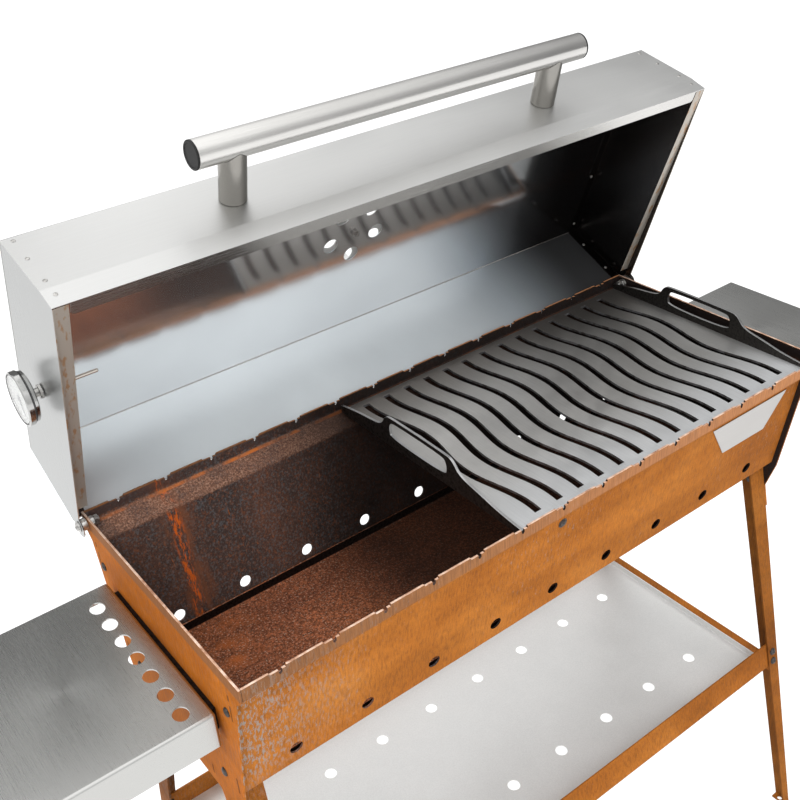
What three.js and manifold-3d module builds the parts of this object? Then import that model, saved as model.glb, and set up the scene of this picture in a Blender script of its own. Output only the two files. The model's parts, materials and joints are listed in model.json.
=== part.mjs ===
// Rectangular charcoal smoker grill in weathering steel with a hinged stainless lid,
// folded side tables, splayed angle legs and a lower shelf. Millimetres, +Z up.
// Working frame: X runs along the trough from its left end plate, Y from its front
// edge to the back, Z from the trough's top edge. The group shifts this frame so
// that the origin lies under the middle of the whole object, on the floor.
import * as THREE from 'three';
import Module from 'manifold-3d';
import { mergeVertices } from 'three/addons/utils/BufferGeometryUtils.js';

const wasm = await Module();
wasm.setup();

// Trough
const LENGTH = 1000;
const DEPTH = 402;
const SHEET = 3;
const GAP = 0.3;
const FLOOR_Z = -925;
const LIP_DROP = 19;
const LEDGE = [26, -36];
const WALL_FOOT = [55.7, -220];
const WALL_FLANGE = 24;
const PLATE_BORDER = 9;
const PLATE_BOTTOM = -257;
const STUB_BOTTOM = -305;
const STUB_HEEL = 112;

// Holes and notches in the long walls
const AIR_HOLES = 9;
const AIR_FIRST = 78.8;
const AIR_Z = -190;
const AIR_RADIUS = 9;
const NOTCHES = 14;
const NOTCH_FIRST = 48;
const NOTCH_PITCH = 69.3;
const NOTCH_SIZE = [22, 2.4];
const SKEWER_SLOT = [4.5, 8];
const SKEWER_OFFSET = 3;

// Ember tray
const TRAY_SIDE = 6;
const TRAY_FRONT = 61;
const TRAY_Z = -216.7;
const TRAY_SHEET = 2.5;
const TRAY_FLANGE = 17;

// Legs: angle section that tapers towards the foot and leans outwards
const LEG_TOP = -223.5;
const LEG_LEAN = 0.221;
const LEG_ORIGIN = 121.2;
const LEG_FACE_TOP = 36.2;
const LEG_FACE_TAPER = 0.0268;
const LEG_SIDE_TOP = 43;
const LEG_SIDE_TAPER = 0.0263;
const LEG_REF_FACE = -246;
const LEG_REF_SIDE = -279;
const FOOT_SIZE = [15, 26];
const FOOT_HOLE = 4.5;

// Rails and shelf
const RAIL_TOP = -568;
const RAIL_BOTTOM = -618;
const RAIL_FLANGE = 32;
const RAIL_END = 10;
const SIDE_RAIL_Z = [-640, -609];
const SHELF_X = [28, 972];
const SHELF_Y = -4.5;
const SHELF_Z = -614.7;
const SHELF_SHEET = 2;
const SHELF_RIM = 11;
const SHELF_HOLES = 8;
const SHELF_HOLE_LAST = 886;
const SHELF_HOLE_PITCH = 105.8;
const SHELF_HOLE_ROWS = [93, 303];
const SHELF_HOLE_RADIUS = 10;

// Side tables
const TABLE_GAP = 7;
const TABLE_WIDTH = 236;
const TABLE_FRONT = 57.4;
const TABLE_Z = -76;
const TABLE_SHEET = 2;
const TABLE_APRON = 50;
const TABLE_BACK_APRON = 26;
const TOOL_HOLES = 7;
const TOOL_HOLE_X = -37;
const TOOL_HOLE_ENDS = [83, 305.4];
const TOOL_HOLE_SIZE = [19, 23];
const BRACKET_Y = 74;
const BRACKET_Z = [-118, -84];

// Lid, described closed and turned open about the hinge
const HINGE_Y = 388.9;
const HINGE_Z = -10.6;
const LID_OPEN = THREE.MathUtils.degToRad(68.8);
const LID_SIDE = -10.4;
const LID_SHEET = 1.5;
const LID_TOP = 133.5;
const LID_MOUTH = 0.6;
const LID_FRONT_TOP = 21.4;
const LID_FRONT_FOOT = [9.2, 29.7];
const LID_REAR_TOP = 385.8;
const LID_REAR_FOOT = [396.5, 6];
const MOUTH_FLANGE = 18;
const EAR_RADIUS = 15;

// Handle
const HANDLE_ENDS = [200, 800];
const HANDLE_RADIUS = 17.5;
const HANDLE_WALL = 2;
const HANDLE_STANDOFF = 73;
const POST_X = [250, 750];
const POST_Z = 80;
const POST_RADIUS = 17;

// Lid vent and its turning damper
const VENT_CENTRE = [491, 195.5];
const VENT_RING = 41.5;
const VENT_RADIUS = 12;
const VENT_COUNT = 5;
const VENT_START = THREE.MathUtils.degToRad(18);
const DAMPER_RADIUS = 64;
const DAMPER_TURN = THREE.MathUtils.degToRad(12);

// Thermometer on the left lid end
const GAUGE_Y = 195.5;
const GAUGE_Z = 59.7;
const GAUGE_RADIUS = 34;
const GAUGE_FACE = -40;
const GAUGE_BACK = -25;
const GAUGE_RECESS = 31;
const PROBE_TIP = 68;
const NEEDLE_REST = -135;

// Grate
const GRATE_X = [402, 981];
const GRATE_Y = [8, 394];
const GRATE_Z = [-20, -16];
const GRATE_SLOTS = 14;
const SLOT_FIRST = 443.7;
const SLOT_PITCH = 37.8;
const SLOT_WIDTH = 11;
const SLOT_Y = [28, 382];
const SLOT_WAVE = 7.5;
const SLOT_WAVELENGTH = 208;
const SLOT_CREST = 260;
const SLOT_STEPS = 18;
const LOOP_Y = [145, 279];
const LOOP_TOP = 28;

// Fixings
const SHANK = 3.8;
const BOLT_HOLE = 4.4;
const HEAD_RADIUS = 6.5;
const RAIL_BOLT_X = 16.4;
const RAIL_BOLT_Z = [-585, -603.6];
const LEG_BOLT = [86, -264];

// Position of the working frame's origin under the finished object
const MIDDLE_Y = 219.45;
const SHIFT = [-LENGTH / 2, -MIDDLE_Y, -FLOOR_Z];

const LOOKS = {
  corten: [0xa9622f, 0.85, 0.35],
  corten_dark: [0x4a2c22, 0.9, 0.3],
  stainless: [0xb4b6b5, 0.38, 0.95],
  tube: [0xd9d7d3, 0.22, 1.0],
  grate: [0x8d8f8f, 0.55, 0.85],
  shelf: [0xb9bab8, 0.5, 0.85],
  zinc: [0xa9aaa8, 0.42, 0.9],
  cap: [0x2b2b2c, 0.35, 0.6],
  badge: [0xe3e0dd, 0.45, 0.8],
  dial: [0xd8d6d0, 0.35, 0.7],
  glass: [0xf4f6f7, 0.05, 0.0],
  needle: [0x1a1a1c, 0.5, 0.2],
};

const AXIS_X = new THREE.Vector3(1, 0, 0);
const UP = new THREE.Vector3(0, 1, 0);

function toSolid(geometry) {
  const clean = geometry.clone();
  clean.deleteAttribute('normal');
  clean.deleteAttribute('uv');
  const merged = mergeVertices(clean, 1e-4);
  const vertProperties = new Float32Array(merged.attributes.position.array);
  const triVerts = new Uint32Array(merged.index.array);
  return new wasm.Manifold(new wasm.Mesh({ numProp: 3, vertProperties, triVerts }));
}

function toGeometry(solid) {
  const mesh = solid.getMesh();
  const geometry = new THREE.BufferGeometry();
  geometry.setAttribute('position', new THREE.BufferAttribute(new Float32Array(mesh.vertProperties), 3));
  geometry.setIndex(new THREE.BufferAttribute(new Uint32Array(mesh.triVerts), 1));
  const flat = geometry.toNonIndexed();
  flat.computeVertexNormals();
  return flat;
}

// Joins a list of solids
function join(solids) {
  return solids.reduce((sum, next) => sum.add(next));
}

// Takes a list of solids out of the first one
function cut(solid, tools) {
  return tools.length ? solid.subtract(join(tools)) : solid;
}

function block(x, y, z) {
  const geometry = new THREE.BoxGeometry(x[1] - x[0], y[1] - y[0], z[1] - z[0]);
  geometry.translate((x[0] + x[1]) / 2, (y[0] + y[1]) / 2, (z[0] + z[1]) / 2);
  return toSolid(geometry);
}

// Straight round bar between two points
function rod(from, to, radius, segments = 16) {
  const a = new THREE.Vector3(...from);
  const b = new THREE.Vector3(...to);
  const along = b.clone().sub(a);
  const geometry = new THREE.CylinderGeometry(radius, radius, along.length(), segments);
  const turn = new THREE.Quaternion().setFromUnitVectors(UP, along.clone().normalize());
  geometry.applyQuaternion(turn);
  geometry.translate(...a.add(b).multiplyScalar(0.5).toArray());
  return toSolid(geometry);
}

// Profile in the Y-Z plane, extruded along X
function prismX(outline, x0, x1) {
  const shape = new THREE.Shape(outline.map(([y, z]) => new THREE.Vector2(y, z)));
  const geometry = new THREE.ExtrudeGeometry(shape, { depth: x1 - x0, bevelEnabled: false, steps: 1 });
  const basis = new THREE.Matrix4().makeBasis(UP, new THREE.Vector3(0, 0, 1), AXIS_X);
  geometry.applyMatrix4(basis);
  geometry.translate(x0, 0, 0);
  return toSolid(geometry);
}

// Profile in the X-Z plane, extruded along Y
function prismY(outline, y0, y1) {
  const shape = new THREE.Shape(outline.map(([x, z]) => new THREE.Vector2(x, z)));
  const geometry = new THREE.ExtrudeGeometry(shape, { depth: y1 - y0, bevelEnabled: false, steps: 1 });
  geometry.rotateX(Math.PI / 2);
  geometry.translate(0, y1, 0);
  return toSolid(geometry);
}

// Profile in the X-Y plane, extruded along Z
function prismZ(outline, z0, z1) {
  const shape = new THREE.Shape(outline.map(([x, y]) => new THREE.Vector2(x, y)));
  const geometry = new THREE.ExtrudeGeometry(shape, { depth: z1 - z0, bevelEnabled: false, steps: 1 });
  geometry.translate(0, 0, z0);
  return toSolid(geometry);
}

// Closed outline of a bent sheet: the path plus its copy moved sideways by the thickness
function bentSheet(path, thickness) {
  return path.concat(offsetPath(path, thickness).reverse());
}

// Path moved sideways, with mitred corners; a positive distance goes to the left of the walk
function offsetPath(path, distance) {
  return path.map((point, i) => {
    const here = new THREE.Vector2(...point);
    const before = i > 0 ? here.clone().sub(new THREE.Vector2(...path[i - 1])).normalize() : null;
    const after = i < path.length - 1 ? new THREE.Vector2(...path[i + 1]).sub(here).normalize() : null;
    const first = before || after;
    const second = after || before;
    const n1 = new THREE.Vector2(-first.y, first.x);
    const n2 = new THREE.Vector2(-second.y, second.x);
    const mitre = n1.clone().add(n2).normalize();
    const reach = distance / mitre.dot(n1);
    return [here.x + mitre.x * reach, here.y + mitre.y * reach];
  });
}

// Convex body from a lower and an upper ring of four corners each
function hexahedron(lower, upper) {
  const corners = lower.concat(upper).flat();
  const faces = [0, 2, 1, 0, 3, 2, 4, 5, 6, 4, 6, 7];
  for (let i = 0; i < 4; i += 1) {
    const j = (i + 1) % 4;
    faces.push(i, j, j + 4, i, j + 4, i + 4);
  }
  const geometry = new THREE.BufferGeometry();
  geometry.setAttribute('position', new THREE.BufferAttribute(new Float32Array(corners), 3));
  geometry.setIndex(faces);
  return toSolid(geometry);
}

// Copies a solid to the other end of the trough
function otherEnd(solid) {
  return solid.mirror([1, 0, 0]).translate([LENGTH, 0, 0]);
}

// Copies a solid to the other long side of the trough
function otherSide(solid) {
  return solid.mirror([0, 1, 0]).translate([0, DEPTH, 0]);
}

// Outer face of a long wall below its ledge, as a distance from the front edge
function wallY(z) {
  const [y0, z0] = LEDGE;
  const [y1, z1] = WALL_FOOT;
  return y0 + ((z - z0) / (z1 - z0)) * (y1 - y0);
}

// Outer face of a front leg at a height
function legY(z) {
  return LEG_ORIGIN + LEG_LEAN * z;
}

function frontWall() {
  const path = [[0, 0], [0, -LIP_DROP], LEDGE, WALL_FOOT, [WALL_FOOT[0] + WALL_FLANGE, WALL_FOOT[1]]];
  const sheet = prismX(bentSheet(path, SHEET), SHEET + GAP, LENGTH - SHEET - GAP);
  const tools = [];
  const pitch = (LENGTH - 2 * AIR_FIRST) / (AIR_HOLES - 1);
  for (let i = 0; i < AIR_HOLES; i += 1) {
    const x = AIR_FIRST + i * pitch;
    const y = wallY(AIR_Z);
    tools.push(rod([x, y - 6, AIR_Z], [x, y + 10, AIR_Z], AIR_RADIUS, 14));
  }
  for (let i = 0; i < NOTCHES; i += 1) {
    const x = NOTCH_FIRST + i * NOTCH_PITCH;
    const slot = x + SKEWER_OFFSET;
    tools.push(block([x - NOTCH_SIZE[0] / 2, x + NOTCH_SIZE[0] / 2], [-1, SHEET + 1], [-NOTCH_SIZE[1], 1]));
    tools.push(block([slot - SKEWER_SLOT[0] / 2, slot + SKEWER_SLOT[0] / 2], [-1, SHEET + 1], [-SKEWER_SLOT[1], 0.5]));
  }
  return cut(sheet, tools);
}

function endPlate() {
  const half = [
    [0, 0],
    [0, -LIP_DROP],
    [LEDGE[0] - PLATE_BORDER, LEDGE[1]],
    [WALL_FOOT[0] - PLATE_BORDER, WALL_FOOT[1]],
    [legY(-268), -268],
    [legY(STUB_BOTTOM), STUB_BOTTOM],
    [legY(STUB_BOTTOM) + LEG_SIDE_TOP - 2, STUB_BOTTOM],
    [STUB_HEEL - 5, PLATE_BOTTOM - 14],
    [STUB_HEEL, PLATE_BOTTOM],
  ];
  const back = half.map(([y, z]) => [DEPTH - y, z]).reverse();
  const plate = prismX(half.concat(back), 0, SHEET);
  const tools = [
    rod([-1, HINGE_Y, HINGE_Z], [SHEET + 1, HINGE_Y, HINGE_Z], BOLT_HOLE, 16),
    rod([-1, LEG_BOLT[0], LEG_BOLT[1]], [SHEET + 1, LEG_BOLT[0], LEG_BOLT[1]], BOLT_HOLE, 12),
    rod([-1, DEPTH - LEG_BOLT[0], LEG_BOLT[1]], [SHEET + 1, DEPTH - LEG_BOLT[0], LEG_BOLT[1]], BOLT_HOLE, 12),
  ];
  return cut(plate, tools);
}

function emberTray() {
  const back = DEPTH - TRAY_FRONT;
  const top = TRAY_Z + TRAY_FLANGE;
  const path = [[TRAY_FRONT, top], [TRAY_FRONT, TRAY_Z], [back, TRAY_Z], [back, top]];
  return prismX(bentSheet(path, TRAY_SHEET), TRAY_SIDE, LENGTH - TRAY_SIDE);
}

// Blank sign plate on the outside of the front wall
function badgePlate() {
  const corners = [[793, -52.5], [963, -52.5], [931, -114.5], [835, -114.5]];
  const face = (offset) => corners.map(([x, z]) => [x, wallY(z) - offset, z]);
  return hexahedron(face(GAP).reverse(), face(1.5).reverse());
}

function leg() {
  const inner = SHEET + GAP;
  const edge = (z) => LEG_FACE_TOP + LEG_FACE_TAPER * (z - LEG_REF_FACE);
  const heel = (z) => legY(z) + LEG_SIDE_TOP + LEG_SIDE_TAPER * (z - LEG_REF_SIDE);
  const faceRing = (z) => [
    [inner, legY(z), z],
    [edge(z), legY(z), z],
    [edge(z), legY(z) + SHEET, z],
    [inner, legY(z) + SHEET, z],
  ];
  const sideRing = (z) => [
    [inner, legY(z), z],
    [inner + SHEET, legY(z), z],
    [inner + SHEET, heel(z), z],
    [inner, heel(z), z],
  ];
  const footY = legY(FLOOR_Z);
  const foot = block(
    [inner, inner + FOOT_SIZE[0]],
    [footY + 0.2, footY + FOOT_SIZE[1]],
    [FLOOR_Z, FLOOR_Z + SHEET],
  );
  const body = join([
    hexahedron(faceRing(FLOOR_Z), faceRing(LEG_TOP)),
    hexahedron(sideRing(FLOOR_Z), sideRing(LEG_TOP)),
    foot,
  ]);
  const holeX = inner + FOOT_SIZE[0] / 2 + 1;
  const holeY = footY + FOOT_SIZE[1] / 2 + 1;
  const tools = [
    rod([holeX, holeY, FLOOR_Z - 1], [holeX, holeY, FLOOR_Z + SHEET + 1], FOOT_HOLE, 12),
    rod([0, LEG_BOLT[0], LEG_BOLT[1]], [inner + SHEET + 1, LEG_BOLT[0], LEG_BOLT[1]], BOLT_HOLE, 12),
    ...RAIL_BOLT_Z.map((z) => boltBore(z)),
  ];
  return cut(body, tools);
}

// Unit vector square to a front leg's face, pointing out of it
function legNormal() {
  return new THREE.Vector3(0, -1, LEG_LEAN).normalize();
}

// Point on the axis of a rail bolt, at a distance out of the leg's face
function boltPoint(z, out) {
  return new THREE.Vector3(RAIL_BOLT_X, legY(z), z).addScaledVector(legNormal(), out).toArray();
}

function boltBore(z) {
  return rod(boltPoint(z, 4), boltPoint(z, -12), BOLT_HOLE, 12);
}

// Domed screw through the leg and the long rail, with its nut behind
function railBolt(z) {
  return join([
    rod(boltPoint(z, GAP + 3.6), boltPoint(z, GAP), HEAD_RADIUS, 12),
    rod(boltPoint(z, GAP + 1), boltPoint(z, -15), SHANK, 12),
    rod(boltPoint(z, -6.9), boltPoint(z, -12.5), HEAD_RADIUS, 6),
  ]);
}

// Screw through the end plate and the leg's side flange
function legBolt() {
  const [y, z] = LEG_BOLT;
  return join([
    rod([-GAP - 3.6, y, z], [-GAP, y, z], HEAD_RADIUS, 12),
    rod([-GAP - 1, y, z], [15, y, z], SHANK, 12),
    rod([2 * SHEET + 2 * GAP, y, z], [2 * SHEET + 2 * GAP + 5.6, y, z], HEAD_RADIUS, 6),
  ]);
}

function longRail() {
  const behind = SHEET + GAP + 0.1;
  const foot = legY(RAIL_BOTTOM) + behind;
  const path = [[legY(RAIL_TOP) + behind, RAIL_TOP], [foot, RAIL_BOTTOM], [foot + RAIL_FLANGE, RAIL_BOTTOM]];
  const bar = prismX(bentSheet(path, SHEET), RAIL_END, LENGTH - RAIL_END);
  const bores = RAIL_BOLT_Z.map((z) => boltBore(z));
  return cut(bar, bores.concat(bores.map((bore) => otherEnd(bore))));
}

function sideRail() {
  const x0 = 2 * SHEET + 2 * GAP;
  const y0 = legY(SIDE_RAIL_Z[1]) + SHEET + 2 * GAP;
  return block([x0, x0 + SHEET], [y0, DEPTH - y0], SIDE_RAIL_Z);
}

function shelfPlate() {
  const [x0, x1] = SHELF_X;
  const top = SHELF_Z + SHELF_SHEET + SHELF_RIM;
  const path = [[x0, top], [x0, SHELF_Z], [x1, SHELF_Z], [x1, top]];
  const tray = prismY(bentSheet(path, SHELF_SHEET), SHELF_Y, DEPTH - SHELF_Y);
  const tools = [];
  for (const y of SHELF_HOLE_ROWS) {
    for (let i = 0; i < SHELF_HOLES; i += 1) {
      const x = SHELF_HOLE_LAST - i * SHELF_HOLE_PITCH;
      tools.push(rod([x, y, SHELF_Z - 1], [x, y, SHELF_Z + SHELF_SHEET + 1], SHELF_HOLE_RADIUS, 14));
    }
  }
  return cut(tray, tools);
}

function sideTable() {
  const x = [-TABLE_GAP - TABLE_WIDTH, -TABLE_GAP];
  const y = [TABLE_FRONT, DEPTH - TABLE_FRONT];
  const z = [TABLE_Z - TABLE_APRON, TABLE_Z];
  const shell = block(x, y, z);
  const inside = block(
    [x[0] + TABLE_SHEET, x[1] - TABLE_SHEET],
    [y[0] + TABLE_SHEET, y[1] - TABLE_SHEET],
    [z[0] - 1, z[1] - TABLE_SHEET],
  );
  const lowBack = block(
    [x[0] + TABLE_SHEET, x[1] - TABLE_SHEET],
    [y[1] - 2 * TABLE_SHEET, y[1] + 1],
    [z[0] - 1, TABLE_Z - TABLE_BACK_APRON],
  );
  const tools = [inside, lowBack];
  const step = (TOOL_HOLE_ENDS[1] - TOOL_HOLE_ENDS[0]) / (TOOL_HOLES - 1);
  for (let i = 0; i < TOOL_HOLES; i += 1) {
    const hole = new THREE.CylinderGeometry(0.5, 0.5, 3 * TABLE_SHEET, 16);
    hole.rotateX(Math.PI / 2);
    hole.scale(TOOL_HOLE_SIZE[0], TOOL_HOLE_SIZE[1], 1);
    hole.translate(TOOL_HOLE_X, TOOL_HOLE_ENDS[0] + i * step, TABLE_Z - TABLE_SHEET / 2);
    tools.push(toSolid(hole));
  }
  return cut(shell, tools);
}

// Channel bolted to the end plate that carries a side table
function tableBracket() {
  const [low, high] = BRACKET_Z;
  const outer = -TABLE_GAP + GAP;
  const web = -GAP;
  const path = [[outer, low], [web, low], [web, high], [outer, high]];
  return prismY(bentSheet(path, 2), BRACKET_Y, DEPTH - BRACKET_Y);
}

// Outside line of the lid's folded skin, from the rear foot over the top to the front lip
function lidPath() {
  const front = LID_FRONT_FOOT[0];
  return [LID_REAR_FOOT, [LID_REAR_TOP, LID_TOP], [LID_FRONT_TOP, LID_TOP], LID_FRONT_FOOT, [front, LID_MOUTH]];
}

function lidSkin() {
  const path = lidPath();
  const shell = prismX(bentSheet(path, LID_SHEET), LID_SIDE, LENGTH - LID_SIDE);
  const front = LID_FRONT_FOOT[0];
  const flangeEnd = LID_SIDE + MOUTH_FLANGE + 2;
  const flange = block(
    [flangeEnd, LENGTH - flangeEnd],
    [front + 0.5, front + MOUTH_FLANGE],
    [LID_MOUTH, LID_MOUTH + LID_SHEET],
  );
  const tools = ventTools(LID_TOP - 5, LID_TOP + 5, 0);
  tools.push(rod([...VENT_CENTRE, LID_TOP - 5], [...VENT_CENTRE, LID_TOP + 5], 3.4, 12));
  return cut(join([shell, flange]), tools);
}

// Ring of vent holes, turned by an angle about the vent's centre
function ventTools(z0, z1, turn) {
  const tools = [];
  for (let i = 0; i < VENT_COUNT; i += 1) {
    const angle = VENT_START + turn + (i * 2 * Math.PI) / VENT_COUNT;
    const x = VENT_CENTRE[0] + VENT_RING * Math.cos(angle);
    const y = VENT_CENTRE[1] + VENT_RING * Math.sin(angle);
    tools.push(rod([x, y, z0], [x, y, z1], VENT_RADIUS, 20));
  }
  return tools;
}

function lidEnd() {
  const web = LID_SIDE + GAP;
  const inner = web + LID_SHEET;
  const skinInside = offsetPath(lidPath(), LID_SHEET + GAP);
  const ear = [];
  for (let i = 0; i <= 8; i += 1) {
    const angle = THREE.MathUtils.degToRad(60 - i * 30);
    ear.push([HINGE_Y + EAR_RADIUS * Math.cos(angle), HINGE_Z + EAR_RADIUS * Math.sin(angle)]);
  }
  const outline = skinInside.slice().reverse().concat(ear.reverse().reverse());
  const plate = prismX(outline, web, inner);
  const rim = prismX(bentSheet(skinInside, LID_SHEET), inner - 0.1, web + MOUTH_FLANGE);
  const rimFront = skinInside[skinInside.length - 1][0];
  const flange = block(
    [inner - 0.1, web + MOUTH_FLANGE],
    [rimFront + 0.2, HINGE_Y - EAR_RADIUS - 5],
    [LID_MOUTH, LID_MOUTH + LID_SHEET],
  );
  const bore = rod([web - 1, HINGE_Y, HINGE_Z], [inner + 1, HINGE_Y, HINGE_Z], BOLT_HOLE, 16);
  return cut(join([plate, rim, flange]), [bore]);
}

function lidLeftEnd() {
  const bore = rod([LID_SIDE - 1, GAUGE_Y, GAUGE_Z], [LID_SIDE + 4, GAUGE_Y, GAUGE_Z], 3, 12);
  return cut(lidEnd(), [bore]);
}

// Point on the axis of a handle post, at a distance out of the front panel
function handlePoint(x, out) {
  const [y0, z0] = LID_FRONT_FOOT;
  const run = LID_FRONT_TOP - y0;
  const rise = LID_TOP - z0;
  const length = Math.hypot(run, rise);
  const y = y0 + ((POST_Z - z0) / rise) * run;
  return [x, y - (out * rise) / length, POST_Z + (out * run) / length];
}

function handleTube() {
  const [x0, x1] = HANDLE_ENDS;
  const tube = rod(handlePoint(x0, HANDLE_STANDOFF), handlePoint(x1, HANDLE_STANDOFF), HANDLE_RADIUS, 28);
  const bore = rod(
    handlePoint(x0 - 1, HANDLE_STANDOFF),
    handlePoint(x1 + 1, HANDLE_STANDOFF),
    HANDLE_RADIUS - HANDLE_WALL,
    28,
  );
  return cut(tube, [bore]);
}

function handlePost(x) {
  const post = rod(handlePoint(x, GAP), handlePoint(x, HANDLE_STANDOFF), POST_RADIUS, 24);
  const saddle = rod(
    handlePoint(x - 40, HANDLE_STANDOFF),
    handlePoint(x + 40, HANDLE_STANDOFF),
    HANDLE_RADIUS + GAP,
    28,
  );
  return cut(post, [saddle]);
}

function handleCap(x, inwards) {
  const at = (dx) => handlePoint(x + inwards * dx, HANDLE_STANDOFF);
  return join([
    rod(at(-3), at(-GAP), HANDLE_RADIUS, 28),
    rod(at(-1), at(14), HANDLE_RADIUS - HANDLE_WALL - GAP, 20),
  ]);
}

// Bar along X on the gauge's axis
function gaugeRod(x0, x1, radius, segments) {
  return rod([x0, GAUGE_Y, GAUGE_Z], [x1, GAUGE_Y, GAUGE_Z], radius, segments);
}

function gaugeCase() {
  const body = join([
    gaugeRod(GAUGE_FACE, GAUGE_BACK - 6, GAUGE_RADIUS, 36),
    gaugeRod(GAUGE_BACK - 7, GAUGE_BACK, GAUGE_RADIUS - 3, 36),
  ]);
  return cut(body, [gaugeRod(GAUGE_FACE - 1, GAUGE_FACE + 4, GAUGE_RECESS, 36)]);
}

function gaugeStem() {
  return join([
    gaugeRod(GAUGE_BACK + GAP, -14, 5.5, 16),
    gaugeRod(-15, LID_SIDE - GAP, 10.5, 6),
  ]);
}

function gaugeProbe() {
  const collar = LID_SIDE + GAP + LID_SHEET + GAP;
  return join([
    gaugeRod(collar, collar + 4, 6, 6),
    gaugeRod(collar + 1, PROBE_TIP, 2.5, 12),
  ]);
}

function gaugeGlass() {
  return gaugeRod(GAUGE_FACE + 0.4, GAUGE_FACE + 1.4, GAUGE_RECESS - GAP, 36);
}

function gaugeNeedle() {
  const blade = [
    [GAUGE_Y - 1.6, GAUGE_Z - 6],
    [GAUGE_Y + 1.6, GAUGE_Z - 6],
    [GAUGE_Y + 0.5, GAUGE_Z + 22],
    [GAUGE_Y - 0.5, GAUGE_Z + 22],
  ];
  const x0 = GAUGE_FACE + 2.2;
  const upright = join([prismX(blade, x0, x0 + 0.6), gaugeRod(x0 - 0.3, x0 + 1.2, 3, 12)]);
  const centred = upright.translate([0, -GAUGE_Y, -GAUGE_Z]);
  return centred.rotate([NEEDLE_REST, 0, 0]).translate([0, GAUGE_Y, GAUGE_Z]);
}

function damperDisc() {
  const z0 = LID_TOP + GAP;
  const z1 = z0 + LID_SHEET;
  const disc = rod([...VENT_CENTRE, z0], [...VENT_CENTRE, z1], DAMPER_RADIUS, 40);
  const tools = ventTools(z0 - 1, z1 + 1, DAMPER_TURN);
  tools.push(rod([...VENT_CENTRE, z0 - 1], [...VENT_CENTRE, z1 + 1], 3.4, 12));
  const knob = block(
    [VENT_CENTRE[0] - 2, VENT_CENTRE[0] + 2],
    [VENT_CENTRE[1] + DAMPER_RADIUS - 12, VENT_CENTRE[1] + DAMPER_RADIUS - 2],
    [z1 - 0.1, z1 + 12],
  );
  return join([cut(disc, tools), knob]);
}

function damperScrew() {
  const top = LID_TOP + LID_SHEET + 2 * GAP;
  return join([
    rod([...VENT_CENTRE, top], [...VENT_CENTRE, top + 3], 6, 12),
    rod([...VENT_CENTRE, LID_TOP - 10], [...VENT_CENTRE, top + 1], 3, 12),
    rod([...VENT_CENTRE, LID_TOP - LID_SHEET - GAP - 5], [...VENT_CENTRE, LID_TOP - LID_SHEET - GAP], 5.8, 6),
  ]);
}

// Bar along X on the lid's hinge axis
function hingeRod(x0, x1, radius, segments) {
  return rod([x0, HINGE_Y, HINGE_Z], [x1, HINGE_Y, HINGE_Z], radius, segments);
}

// Domed hinge screw, head outside the lid's ear
function hingeBolt() {
  const seat = LID_SIDE;
  return join([
    hingeRod(seat - 2.4, seat, 7.5, 16),
    hingeRod(seat - 4.4, seat - 2.2, 5.4, 16),
    hingeRod(seat - 1, 17.5, SHANK, 16),
  ]);
}

function hingeNut() {
  return cut(hingeRod(SHEET + GAP, SHEET + GAP + 12.5, 7.4, 6), [hingeRod(0, 30, BOLT_HOLE, 16)]);
}

function hingeSpacer() {
  const x0 = LID_SIDE + LID_SHEET + 2 * GAP;
  return cut(hingeRod(x0, -GAP, 8.5, 16), [hingeRod(-30, 30, BOLT_HOLE, 16)]);
}

// Upright edge of the grate with its lifting loop
function grateSide(x0, x1) {
  const [y0, y1] = GRATE_Y;
  const base = GRATE_Z[0] + 0.5;
  const outline = [
    [y0, base],
    [y1, base],
    [y1, -8],
    [330, 1],
    [300, 6],
    [LOOP_Y[1] + 8, 12],
    [LOOP_Y[1], LOOP_TOP - 3],
    [LOOP_Y[1] - 8, LOOP_TOP],
    [LOOP_Y[0] + 8, LOOP_TOP],
    [LOOP_Y[0], LOOP_TOP - 3],
    [LOOP_Y[0] - 12, 10],
    [LOOP_Y[0] - 40, 3],
    [60, -4],
    [30, -9],
    [y0, -11],
  ];
  const loop = [
    [LOOP_Y[0] + 11, -5],
    [LOOP_Y[1] - 8, -5],
    [LOOP_Y[1] - 4, 1],
    [LOOP_Y[1] - 6, 15],
    [LOOP_Y[1] - 13, 21.5],
    [LOOP_Y[0] + 14, 21.5],
    [LOOP_Y[0] + 7, 15],
    [LOOP_Y[0] + 6, 1],
  ];
  return cut(prismX(outline, x0, x1), [prismX(loop, x0 - 1, x1 + 1)]);
}

// One wavy slot through the grate, as a ribbon of constant width along X
function grateSlot(x) {
  const left = [];
  const right = [];
  for (let i = 0; i <= SLOT_STEPS; i += 1) {
    const t = i / SLOT_STEPS;
    const y = SLOT_Y[0] + t * (SLOT_Y[1] - SLOT_Y[0]);
    const middle = x + SLOT_WAVE * Math.cos((2 * Math.PI * (y - SLOT_CREST)) / SLOT_WAVELENGTH);
    left.push([middle - SLOT_WIDTH / 2, y]);
    right.push([middle + SLOT_WIDTH / 2, y]);
  }
  return prismZ(right.concat(left.reverse()), GRATE_Z[0] - 1, GRATE_Z[1] + 1);
}

function grate() {
  const plate = block(GRATE_X, GRATE_Y, GRATE_Z);
  const slots = [];
  for (let i = 0; i < GRATE_SLOTS; i += 1) {
    slots.push(grateSlot(SLOT_FIRST + i * SLOT_PITCH));
  }
  const sides = [grateSide(GRATE_X[0], GRATE_X[0] + 4), grateSide(GRATE_X[1] - 4, GRATE_X[1])];
  return join([cut(plate, slots), ...sides]);
}

function piece(name, solid, look, parent) {
  const [color, roughness, metalness] = LOOKS[look];
  const material = new THREE.MeshStandardMaterial({ color, roughness, metalness });
  material.name = name;
  if (look === 'glass') {
    material.transparent = true;
    material.opacity = 0.35;
  }
  const mesh = new THREE.Mesh(toGeometry(solid), material);
  mesh.name = name;
  parent.add(mesh);
}

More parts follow.
